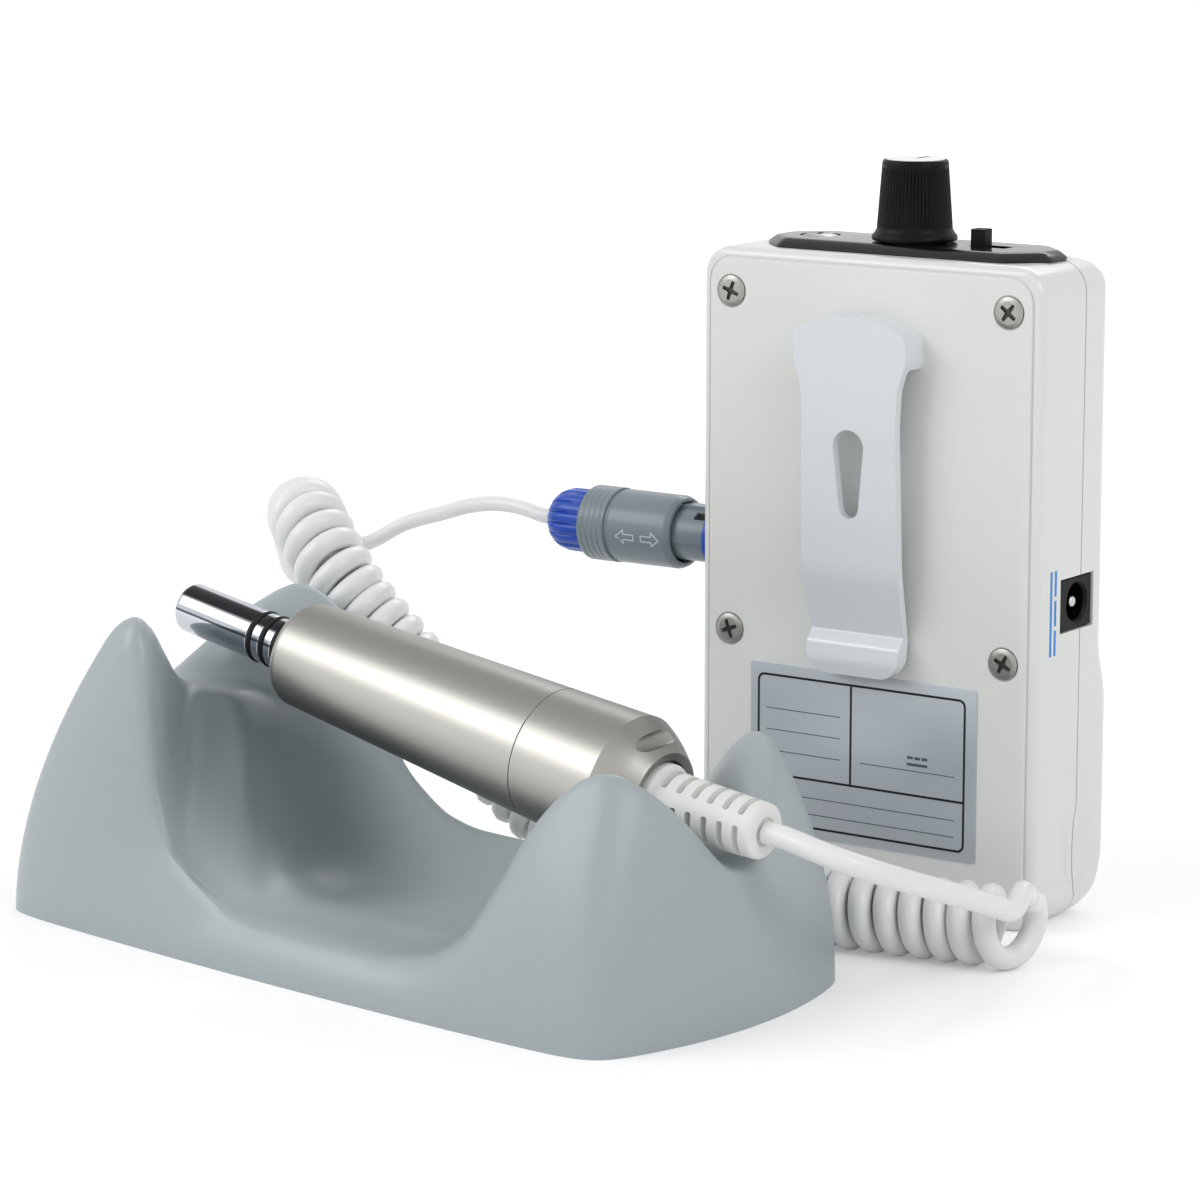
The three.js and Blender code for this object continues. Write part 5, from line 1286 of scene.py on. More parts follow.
    def fasten(self) -> None:
        """Makes the four screws with their cross recesses, each with a dark cross of painted shade in it."""
        radius, foot = self.head_radius, self.head_seat - 0.02
        crown = rounded([(-0.42, 0), (-0.36, radius * 0.72), (-0.12, radius), (foot, radius), (foot, 0)],
                        [0, 1.5, 0.15, 0, 0], 5, closed=False)
        cross, quarter = [], list(self.recess_quarter)
        for _ in range(4):
            cross += quarter
            quarter = [(z, -x) for x, z in quarter]
        cross = rounded(cross, 0.14, 2)
        taper, depth = self.recess_taper, self.recess_depth
        for i, ((x, z), turn) in enumerate(zip(self.screws(), self.screw_turns)):
            place = Matrix.Translation((x, self.panel_face, z)) @ Matrix.Rotation(radians(turn), 4, "Y")
            recess = prism(cross, Plane.XZ, -OVERRUN, depth)
            for vert in recess.verts:
                if vert.co.y > 0:
                    vert.co.x *= taper
                    vert.co.z *= taper
            head = cut(turned(crown, Axis.Y, steps=48), recess)
            name = f"case_screw_{i + 1}"
            publish(moved(head, place), f"{name}_head", SCREW_STEEL, "base", name)
            # A dark cross on each recess's floor is painted shade; the recess itself is the head's own steel
            painted_recess_shade = prism([(x * taper, z * taper) for x, z in cross], Plane.XZ, 0.05, depth - 0.01)
            publish(moved(painted_recess_shade, place), f"{name}_pit", DARK_STEEL_AND_RECESS_SHADE, "base")

    @staticmethod
    def _strip(x0: float, x1: float, z0: float, z1: float, face: float) -> Shape:
        """A thin printed strip that stands on a face."""
        return block(x0, x1, face - INK, face + INK_ROOT, z0, z1)

    def stick_label(self) -> None:
        """Makes the foil label, with its ruled frame and empty writing lines."""
        near = self.panel_face - self.label_thick
        plate = prism(oblong(*self.label, 0.7), Plane.XZ, near, self.panel_face)
        soften_front(plate, near, 0.05, 2)
        publish(plate, "rating_label_foil", LABEL_FOIL, "base", "rating_label")
        x0, x1, z0, z1 = self.frame_box
        rule, half = self.rule_width, self.rule_width / 2
        border = cut(
            prism(oblong(x0, x1, z0, z1, 1.4), Plane.XZ, near - INK, near + INK_ROOT),
            prism(oblong(x0 + rule, x1 - rule, z0 + rule, z1 - rule, 1.0), Plane.XZ, near - OVERRUN,
                  near + OVERRUN),
        )
        shelf = self._strip(x0 + half, x1 - half, self.shelf_z - half, self.shelf_z + half, near)
        post = self._strip(self.post_x - half, self.post_x + half, self.shelf_z, z1 - half, near)
        publish(carve(border, (Cut.JOIN, shelf), (Cut.JOIN, post)), "label_frame", PRINT_BLACK, "base")
        lines = merged(*[self._strip(*sides, near) for sides in self.printed])
        publish(lines, "label_lines", PRINT_GREY, "base")


@dataclass
class TopControls:
    """The black top plate with its screw, the speed knob and the switch lever."""

    shell_top: float = 117.0
    left: float = -27.0
    right: float = 31.0
    half: float = 9.2
    chamfer: float = 6.0
    floor: float = 118.0
    top: float = 118.7
    screw_x: float = -17.9
    screw_radius: float = 3.4
    screw_crown: float = 1.0
    # The screw's slots: length, width and depth, and how the first is turned, in degrees
    screw_slot: Point3 = (3.8, 0.76, 0.7)
    screw_turn: float = 20.0
    screw_length: float = 8.0
    shank_radius: float = 1.3
    knob_x: float = 1.8
    knob_foot: float = 118.9
    bush_hole: float = 3.9
    well_radius: float = 6.2
    knob_height: float = 14.3
    skirt_radius: float = 7.6
    foot_radius: float = 6.7
    top_radius: float = 5.9
    ribs: int = 60
    rib_depth: float = 0.22
    rib_steps: int = 6
    hollow_radius: float = 6.1
    hollow_height: float = 1.3
    shaft_hole: float = 3.3
    pointer_half: float = 0.5
    cap_radius: float = 5.2
    cap_depth: float = 0.8
    cap_proud: float = 0.1
    lever_x: float = 15.4
    lever_travel: float = 4.0
    lever_length: float = 2.8
    lever_width: float = 3.0
    lever_top: float = 121.7
    lever_low: float = 110.2
    lever_grooves: tuple = (-0.75, 0.0, 0.75)

    def slot(self, low: float, high: float) -> Shape:
        """The opening that the switch lever runs in."""
        reach = self.lever_length / 2 + GAP
        wide = self.lever_width / 2 + GAP
        return block(self.lever_x - reach, self.lever_x + self.lever_travel + reach, -wide, wide, low, high)

    def bush_room(self, low: float, high: float) -> Shape:
        """The hole for the control's threaded bush under the knob."""
        return rod(Axis.Z, self.bush_hole, low, high, (self.knob_x, 0, 0))

    def _outline(self, inset: float, z: float) -> list[Vector]:
        """The top plate's outline at a height.

        Args:
            inset: How far it is drawn in.
            z: The height.

        Returns:
            The outline's ring of points.
        """
        left, right, half = self.left + inset, self.right - inset, self.half - inset
        c = self.chamfer - inset * 0.58
        corners = [(left + c, -half), (right - c, -half), (right, -half + c), (right, half - c),
                   (right - c, half), (left + c, half), (left, half - c), (left, -half + c)]
        return [Vector((x, y, z)) for x, y in rounded(corners, 2.4, 5)]

    def plate(self) -> None:
        """Makes the top plate and its screw."""
        low, top = self.shell_top, self.top
        slope = [(0.35, low), (0, low + 0.12), (0, low + 0.4), (0.28, low + 0.72), (1.1, top - 0.32),
                 (1.5, top - 0.1), (1.9, top - 0.02), (2.4, top)]
        knob, screw = (self.knob_x, 0, 0), (self.screw_x, 0, 0)
        plate = cut(
            loft([self._outline(inset, z) for inset, z in slope]),
            self.slot(low - OVERRUN, top + OVERRUN),
            self.bush_room(low - OVERRUN, top),
            rod(Axis.Z, self.well_radius, self.floor - 0.02, top + OVERRUN, knob, 64),
            rod(Axis.Z, self.shank_radius + GAP, low - OVERRUN, top, screw),
            rod(Axis.Z, self.screw_radius + HEAD_SLACK, self.floor, top + OVERRUN, screw, 64),
        )
        publish(plate, "top_plate", BLACK_GLOSS, "base", "top_bezel", crease=40)
        radius, high = self.screw_radius, self.screw_crown
        profile = rounded([
            (-self.screw_length, 0), (-self.screw_length, self.shank_radius), (0.01, self.shank_radius),
            (0.01, radius), (high * 0.5, radius), (high, radius * 0.6), (high, 0),
        ], [0, 0.3, 0, 0, 0.3, 1.2, 0], 5, closed=False)
        long, wide, deep = self.screw_slot
        reach, half, seat = long / 2, wide / 2, self.floor + high - deep
        bars = [
            moved(block(-reach, reach, -half, half, seat, seat + 3),
                  Matrix.Translation(screw) @ Matrix.Rotation(radians(turn), 4, "Z"))
            for turn in (self.screw_turn, self.screw_turn + 90)
        ]
        head = cut(turned(profile, Axis.Z, (self.screw_x, 0, self.floor), 64), *bars)
        publish(head, "bezel_screw_head", SCREW_STEEL, "base", "bezel_screw", edge=0.05)

    def knob(self) -> None:
        """Makes the ribbed knob with its white cap and pointer."""
        foot, top = self.knob_foot, self.knob_foot + self.knob_height
        skirt, waist, crown = self.skirt_radius, self.foot_radius, self.top_radius
        count = self.ribs * self.rib_steps
        # Height, radius and share of the rib depth
        levels = [
            (foot, skirt - 0.5, 0), (foot + 0.12, skirt - 0.15, 0), (foot + 0.45, skirt, 0),
            (foot + 0.95, skirt - 0.08, 0), (foot + 1.3, skirt - 0.42, 0), (foot + 1.7, waist + 0.22, 0),
            (foot + 2.1, waist + 0.02, 0), (foot + 2.25, waist, 0.2), (foot + 2.6, waist - 0.02, 1),
            (top - 1.75, crown + 0.03, 1), (top - 1.45, crown + 0.02, 0.3), (top - 1.3, crown + 0.02, 0),
            (top - 0.65, crown - 0.02, 0), (top - 0.3, crown - 0.12, 0), (top - 0.08, crown - 0.35, 0),
            (top, crown - 0.6, 0),
        ]
        rings = []
        for z, radius, share in levels:
            ring = []
            for k in range(count):
                wave = 0.5 - 0.5 * cos(tau * k / self.rib_steps)
                r = radius - self.rib_depth * share * (1 - wave) ** 2
                angle = tau * k / count
                ring.append(Vector((self.knob_x + r * cos(angle), r * sin(angle), z)))
            rings.append(ring)
        centre = (self.knob_x, 0, 0)
        cap, low, high = self.cap_radius, top - self.cap_depth, top + self.cap_proud
        grip = cut(
            loft(rings),
            rod(Axis.Z, cap + 0.12, low, top + OVERRUN, centre, ROUND),
            rod(Axis.Z, self.hollow_radius, foot - OVERRUN, foot + self.hollow_height, centre),
            rod(Axis.Z, self.shaft_hole, foot, top - 2.4, centre),
        )
        publish(grip, "speed_knob_grip", BLACK_SATIN, "knob", "speed_knob", crease=40)
        profile = rounded([(low, 0), (low, cap), (high, cap), (high, 0)], [0, 0, 0.2, 0], 4, closed=False)
        x, half = self.knob_x, self.pointer_half
        notch = block(x - half - 0.05, x + half + 0.05, 0.4, cap + 1, high - 0.3, high + 1)
        disc = cut(turned(profile, Axis.Z, centre), notch)
        publish(disc, "knob_cap_disc", KNOB_WHITE, "knob", "knob_cap")
        mark = block(x - half, x + half, 0.45, cap - 0.1, high - 0.3, high - 0.04)
        publish(mark, "knob_pointer", PRINT_BLACK, "knob", edge=0.03)

    def lever(self) -> None:
        """Makes the switch lever."""
        x, reach, wide = self.lever_x, self.lever_length / 2, self.lever_width / 2
        low, top = self.lever_low, self.lever_top
        peg = prism(oblong(x - reach, x + reach, -wide, wide, 0.3, 3), Plane.XY, low + 1.5, top)
        foot = block(x - 1.8, x + 1.8, -wide, wide, low, low + 1.6)
        grooves = merged(*[
            block(x - 3, x + 3, y - 0.16, y + 0.16, top - 0.25, top + 1) for y in self.lever_grooves
        ])
        lever = carve(peg, (Cut.JOIN, foot), (Cut.AWAY, grooves))
        publish(lever, "switch_lever_peg", BLACK_SATIN, "switch_lever", "slide_switch_lever", edge=0.1)


@dataclass
class ChargingJack:
    """The square charging socket in the case's side, with its direct-current mark."""

    face: float = 34.7
    depth: float = 14.5
    near: float = -4.1
    far: float = 6.9
    low: float = 52.8
    high: float = 61.8
    bore_y: float = 1.9
    bore_radius: float = 3.25
    bore_depth: float = 10.0
    bore_mouth: float = 0.55
    pin_radius: float = 1.05
    pin_back: float = 0.6
    side: float = 35.0
    # The sign beside it: its height, its line and dashes across, and the dashes' pitch and length
    sign_height: Point2 = (49.0, 64.0)
    sign_line: Point2 = (-8.0, -7.3)
    sign_dashes: Point2 = (-6.5, -5.8)
    dash_pitch: float = 5.25
    dash_length: float = 4.5

    def opening(self) -> Shape:
        """The hole that it needs in the case's side."""
        return block(self.side - SIDE_CUT, self.side + SIDE_CUT, self.near - GAP, self.far + GAP,
                     self.low - GAP, self.high + GAP)

    def build(self) -> None:
        """Makes the socket's body, its pin and the mark beside it."""
        centre = (0, self.bore_y, (self.low + self.high) / 2)
        face, back = self.face, self.face - self.bore_depth
        wide = self.bore_radius + self.bore_mouth
        body = block(face - self.depth, face, self.near, self.far, self.low, self.high)
        bore = turned([
            (back, 0), (back, self.bore_radius), (face - 0.5, self.bore_radius), (face + 0.1, wide),
            (face + 1, wide), (face + 1, 0),
        ], Axis.X, centre, 64)
        publish(cut(body, bore), "charging_jack_body", BLACK_SATIN, "base", "charging_jack", edge=0.15)
        tip = face - self.pin_back
        pin = rounded([(back, 0), (back, self.pin_radius), (tip, self.pin_radius), (tip, 0)],
                      [0, 0, 0.6, 0], 6, closed=False)
        publish(turned(pin, Axis.X, centre, 32), "charging_jack_pin_tip", BRIGHT_STEEL, "base",
                "charging_jack_pin")
        root, skin = self.side - 2 * INK_ROOT, self.side + INK
        low, high = self.sign_height
        strips = [block(root, skin, *self.sign_line, low, high)]
        for k in range(3):
            z = low + self.dash_pitch * k
            strips.append(block(root, skin, *self.sign_dashes, z, z + self.dash_length))
        publish(merged(*strips), "direct_current_mark", PRINT_BLUE, "base")


# Motor socket and plug -----------------------------------------------

@dataclass
class MotorPlug:
    """The round socket in the case's side and the plug that is partly drawn out of it."""

    side: float = -35.0
    y: float = -3.45
    z: float = 62.5
    bore: float = 5.3
    ring_radius: float = 6.5
    ring_height: float = 1.8
    body_radius: float = 6.1
    body_length: float = 14.0
    flange_radius: float = 7.6
    nose_tip: float = -30.2
    nose_radius: float = 5.0
    cup_radius: float = 3.6
    cup_depth: float = 8.0
    mouth: float = -44.0
    mouth_radius: float = 6.3
    mouth_bore: float = 5.6
    mouth_depth: float = 6.0
    sleeve_end: float = -58.4
    sleeve_radius: float = 6.85
    tail_radius: float = 4.3
    tail_length: float = 20.0
    band_end: float = -64.3
    band_radius: float = 7.0
    band_bore: float = 6.25
    nut_end: float = -73.58
    nut_radius: float = 5.9
    nut_front: float = -60.7
    nut_end_radius: float = 2.4
    nut_dome: float = 4.6
    nut_bore: float = 4.6
    flutes: int = 16
    flute_steps: int = 8
    flute_depth: float = 0.5
    ridges: int = 5
    # Each arrow's direction and middle, and how far round the sleeve they lie, in degrees
    arrows: tuple = ((-1, -53.5), (1, -48.0))
    arrow_turn: float = 7.0
    # Half the key's width, and how far it stands out of the nose
    key_half: float = 1.5
    key_rise: float = 0.45
    rib_turn: float = 94.0
    notch_turn: float = 38.0
    # Start and end of the socket's flange, and what is kept clear behind it: from and to along x, y, z
    flange_place: Point2 = (2.0, 3.6)
    wall_room: tuple = (-35.0, 0.0, -12.6, -9.3, 0.0, 117.0)

    def _centre(self) -> Point3:
        """A point on the plug's axis."""
        return (0.0, self.y, self.z)

    def _key(self, start: float, end: float, slack: float) -> Shape:
        """The key along the top of the plug's nose, or the room that it needs."""
        half = self.key_half + slack
        return block(start, end, self.y - half, self.y + half, self.z,
                     self.z + self.nose_radius + self.key_rise + slack)

    def _beside(self, turn: float, *sides: float) -> Shape:
        """A box beside the plug's axis, turned about it by an angle in degrees."""
        place = Matrix.Translation((0, self.y, self.z)) @ Matrix.Rotation(radians(turn), 4, "X")
        return moved(block(*sides), place)

    def opening(self) -> Shape:
        """The hole that the socket needs in the case's side."""
        return rod(Axis.X, self.body_radius + GAP, self.side - OVERRUN, self.side + SIDE_CUT, self._centre())

    def socket(self) -> None:
        """Makes the blue ring and the socket's body."""
        side, bore, outer = self.side, self.bore, self.body_radius
        front, back = side - self.ring_height, side + self.body_length
        ring = cut(self._ring_of(front, side, bore, self.ring_radius, 0.4),
                   self._key(front - OVERRUN, side + OVERRUN, GAP))
        publish(ring, "socket_collar", PLUG_BLUE, "base", "socket_ring")
        start, end = (side + place for place in self.flange_place)
        outline = [
            (side, bore), (side, outer), (start, outer), (start, self.flange_radius),
            (end, self.flange_radius), (end, outer), (back, outer), (back, bore), (side, bore),
        ]
        body = cut(turned(outline, Axis.X, self._centre(), 64), block(*self.wall_room),
                   self._key(front - OVERRUN, back - 1.6, GAP))
        publish(body, "socket_barrel", DARK_PLASTIC, "base", "socket_body")

    def _ring_of(self, start: float, end: float, inner: float, outer: float, edge: float) -> Shape:
        """A ring with rounded corners on the plug's axis."""
        outline = rounded([(start, inner), (start, outer), (end, outer), (end, inner)], edge, 4)
        return turned([*outline, outline[0]], Axis.X, self._centre())

    def plug(self) -> None:
        """Makes the plug's nose, sleeve, band and nut."""
        centre, radius = self._centre(), self.nose_radius
        tip, mouth = self.nose_tip, self.mouth
        cup, step, end = tip - self.cup_depth, mouth - self.mouth_depth, mouth - self.tail_length
        nose = rounded([
            (cup, 0), (cup, self.cup_radius), (tip, self.cup_radius), (tip, radius), (step, radius),
            (step, self.tail_radius), (end, self.tail_radius), (end, 0),
        ], [0, 0, 0.2, 0.5, 0, 0, 0.3, 0], 4, closed=False)
        key = cut(self._key(step, tip - 1, 0), rod(Axis.X, self.tail_radius, end, tip + OVERRUN, centre))
        rib = self._beside(self.rib_turn, mouth - 5.5, -37.2, -0.75, 0.75, radius - 0.5, radius + 0.18)
        notch = self._beside(self.notch_turn, -40.2, -37.6, -0.9, 0.9, radius - 0.7, radius + 1)
        body = carve(turned(nose, Axis.X, centre), (Cut.JOIN, key), (Cut.JOIN, rib), (Cut.AWAY, notch))
        publish(body, "plug_nose_shell", PLUG_GREY, "plug", "plug_nose", edge=0.08)
        # A dark plate on the notch's floor is painted shade
        dark = self._beside(self.notch_turn, -40.1, -37.7, -0.8, 0.8, radius - 0.69, radius - 0.6)
        publish(dark, "plug_nose_notch_shade", DARK_PLASTIC, "plug")
        self._sleeve()
        self._nut()

    def _sleeve(self) -> None:
        """Makes the sleeve with its arrows, and the ridged band behind it."""
        mouth, end, bore = self.mouth, self.sleeve_end, self.tail_radius + GAP
        stop = mouth - self.mouth_depth - 2
        rear = self.sleeve_radius - 0.22
        outline = rounded([
            (mouth, self.mouth_bore), (mouth, self.mouth_radius), (mouth - 1.1, self.mouth_radius + 0.5),
            (end + 0.9, self.sleeve_radius), (end + 0.5, rear), (end, rear), (end, bore), (stop - GAP, bore),
            (stop - GAP, self.mouth_bore),
        ], [0.2, 0.6, 0.8, 0.1, 0.1, 0.1, 0, 0, 0], 4)
        sleeve = cut(turned([*outline, outline[0]], Axis.X, self._centre()),
                     self._key(stop, mouth + OVERRUN, GAP))
        publish(sleeve, "plug_sleeve_shell", PLUG_GREY, "plug_release", "plug_sleeve")
        arrows = merged(*[self._arrow(middle, sign) for sign, middle in self.arrows])
        publish(arrows, "sleeve_arrows", PLUG_PRINT, "plug_release", crease=60)

        radius = self.band_radius
        shape = [(end, self.band_bore), (end, radius - 0.25)]
        pitch = (end - self.band_end) / self.ridges
        for k in range(self.ridges):
            start = end - k * pitch
            shape += [(start - 0.12, radius - 0.02), (start - pitch + 0.2, radius),
                      (start - pitch + 0.1, radius - 0.07), (start - pitch, radius - 0.07)]
        shape += [(self.band_end, self.band_bore), (end, self.band_bore)]
        band = turned(shape, Axis.X, self._centre())
        publish(band, "plug_band_ring", PLUG_GREY, "plug_release", "plug_band", crease=50)

    def _arrow(self, middle: float, sign: int) -> Shape:
        """An outlined arrow on the sleeve's face, wrapped round it.

        Args:
            middle: Its place along the plug.
            sign: 1 where it points to the nose, else -1.

        Returns:
            The arrow.
        """
        def shape(grow: float) -> list[Point2]:
            """The arrow's outline.

            Args:
                grow: How far it is drawn in.

            Returns:
                The outline's corners.
            """
            tip, neck, tail = 2.2 - 1.7 * grow, 0.3 - 0.2 * grow, -2.0 + grow
            wide, thin = 1.45 - 2.2 * grow, 0.62 - grow
            return [(tip, 0), (neck + grow, wide), (neck + grow, thin), (tail, thin), (tail, -thin),
                    (neck + grow, -thin), (neck + grow, -wide)]

        bm = bmesh.new()
        outer = [bm.verts.new((x * sign, y, 0)) for x, y in shape(0.0)]
        inner = [bm.verts.new((x * sign, y, 0)) for x, y in shape(0.2)]
        edges = [bm.edges.new(pair) for loop in (outer, inner) for pair in zip(loop, loop[1:] + loop[:1])]
        bmesh.ops.bridge_loops(bm, edges=edges)
        faces = bmesh.ops.extrude_face_region(bm, geom=bm.faces[:])["geom"]
        lifted = [part for part in faces if isinstance(part, bmesh.types.BMVert)]
        bmesh.ops.translate(bm, verts=lifted, vec=(0, 0, 0.05))
        base = self.sleeve_radius - 0.05
        for vert in bm.verts:
            x, across, up = vert.co
            radius = base + up * 1.4
            angle = across / base - radians(self.arrow_turn)
            vert.co = (middle + x, self.y - radius * cos(angle), self.z + radius * sin(angle))
        return tidy(bm)

    def _nut(self) -> None:
        """Makes the fluted nut with its domed end."""
        levels = [(self.nut_front, self.nut_radius, 0), (self.band_end + 0.2, self.nut_radius, 0),
                  (self.band_end - 0.3, self.nut_radius, 1)]
        start = self.nut_end + self.nut_dome
        levels.append((start + 0.6, self.nut_radius, 1))
        for k in range(1, 11):
            angle = radians(9 * k)
            radius = self.nut_end_radius + (self.nut_radius - self.nut_end_radius) * cos(angle)
            levels.append((start - self.nut_dome * sin(angle), radius, max(1 - (k / 9) ** 2, 0)))
        levels.append((self.nut_end + 0.15, self.nut_end_radius - 0.4, 0))
        levels.append((self.nut_end + 0.9, 1.7, 0))
        count = self.flutes * self.flute_steps
        rings = []
        for x, radius, share in levels:
            ring = []
            for k in range(count):
                angle = tau * k / count
                groove = max(0.0, cos(angle * self.flutes)) ** 3
                r = radius - self.flute_depth * share * groove
                ring.append(Vector((x, self.y + r * cos(angle), self.z + r * sin(angle))))
            rings.append(ring)
        bore = rod(Axis.X, self.nut_bore, self.mouth - self.tail_length - GAP, self.nut_front + OVERRUN,
                   self._centre())
        publish(cut(loft(rings), bore), "plug_nut_fluted", PLUG_BLUE, "plug", "plug_collet_nut", crease=50)


# Belt clip -----------------------------------------------------------

@dataclass
class BeltClip:
    """The sprung clip, moulded in one with its root and bent at the hinge line."""

    base: float = -12.6
    face: float = -18.6
    thickness: float = 1.7
    root_low: float = 98.2
    root_shoulder: float = 103.8
    root_top: float = 107.0
    root_half: float = 11.5
    waist_high: float = 87.0
    waist_half: float = 9.6
    flare_low: float = 60.0
    flare_half: float = 10.0
    slope_low: float = 61.5
    slope_out: float = 5.2
    crease: float = 50.5
    crease_out: float = 2.0
    lip_low: float = 43.0
    lip_out: float = 3.9
    lip_half: float = 9.5
    lip_round: float = 4.0
    hole_top: float = 87.1
    hole_low: float = 71.4
    hole_radius: float = 3.15
    hole_tip: float = 2.0
    # The case's wall behind it: from and to along x, y and z
    wall_room: tuple = (-20.0, 20.0, -12.6, -9.6, 30.0, 120.0)
    # Heights that it is sliced at, and two heights on its hinge line
    slices: tuple[int, int, int] = (60, 98, 2)
    hinge: Point2 = (99.5, 90.0)

    def _side(self) -> list[Point2]:
        """The clip seen from its side: how far out, and how high.

        Returns:
            The outline's corners.
        """
        t, base = self.thickness, self.base
        near = [base - d for d in (self.slope_out, self.crease_out, self.lip_out)]
        corners = [
            (self.face, self.root_top + OVERRUN), (self.face, self.waist_high), (near[0], self.slope_low),
            (near[1], self.crease), (near[2] + 0.2, self.crease - 1.9), (near[2] - 0.35, self.lip_low + 2.6),
            (near[2] + 0.4, self.lip_low - OVERRUN), (near[2] + t + 0.5, self.lip_low - OVERRUN),
            (near[1] + t - 0.2, self.crease - 0.4), (near[0] + t, self.slope_low),
            (self.face + t, self.waist_high), (self.face + t, self.root_low),
            (base + 0.02, self.root_low), (base + 0.02, self.root_top + OVERRUN),
        ]
        return rounded(corners, [0, 30, 16, 0.5, 1.6, 3, 0, 0, 1.0, 16, 30, 0.7, 0, 0], 8)

    def _front(self) -> list[Point2]:
        """The clip seen from the front.

        Returns:
            The outline's corners.
        """
        rise = self.root_top - self.root_shoulder
        radius = (self.root_half ** 2 + rise ** 2) / (2 * rise)
        span = degrees(asin((self.root_half - 2.2) / radius))
        right = [
            (self.root_half, self.root_shoulder + 0.35), (self.root_half, self.root_low + 1.2),
            (self.waist_half + 0.35, self.root_low - 3.5), (self.waist_half, self.waist_high + 1),
            (self.flare_half, self.flare_low), (self.lip_half, self.crease), (self.lip_half, self.lip_low),
        ]
        top = arc((0, self.root_top - radius), radius, 90 + span, 90 - span, 24)
        right = rounded([top[-1], *right], [0, 2.4, 1.2, 9, 30, 12, 3, 0], 6, closed=False)[1:-1]
        lip = arc((self.lip_half - self.lip_round, self.lip_low + self.lip_round), self.lip_round, 0, -90)
        right = right + lip
        left = [(-x, z) for x, z in reversed(right)]
        return [*top, *right, *left]

    def build(self) -> None:
        """Makes the clip and slices it across at even heights."""
        slab = prism(self._side(), Plane.YZ, -self.root_half - OVERRUN, self.root_half + OVERRUN)
        front = prism(self._front(), Plane.XZ, self.face - OVERRUN, self.base + OVERRUN)
        high = self.hole_top - self.hole_radius
        low = self.hole_low + self.hole_tip
        lean = degrees(asin((self.hole_radius - self.hole_tip) / (high - low)))
        hole = prism([*arc((0, high), self.hole_radius, -lean, 180 + lean, 20),
                      *arc((0, low), self.hole_tip, 180 + lean, 360 - lean, 12)],
                     Plane.XZ, self.face - OVERRUN, self.base + OVERRUN)
        clip = cut(carve(slab, (Cut.KEEP, front), (Cut.AWAY, hole)), block(*self.wall_room))
        for height in range(*self.slices):
            bmesh.ops.bisect_plane(clip, geom=clip.verts[:] + clip.edges[:] + clip.faces[:],
                                   plane_co=(0, 0, height), plane_no=(0, 0, 1))
        piece = publish(clip, "belt_clip_moulding", CLIP_WHITE, "", "belt_clip", "clip_root", crease=34,
                        edge=0.5)
        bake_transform(piece)


# Handpiece and cradle ------------------------------------------------

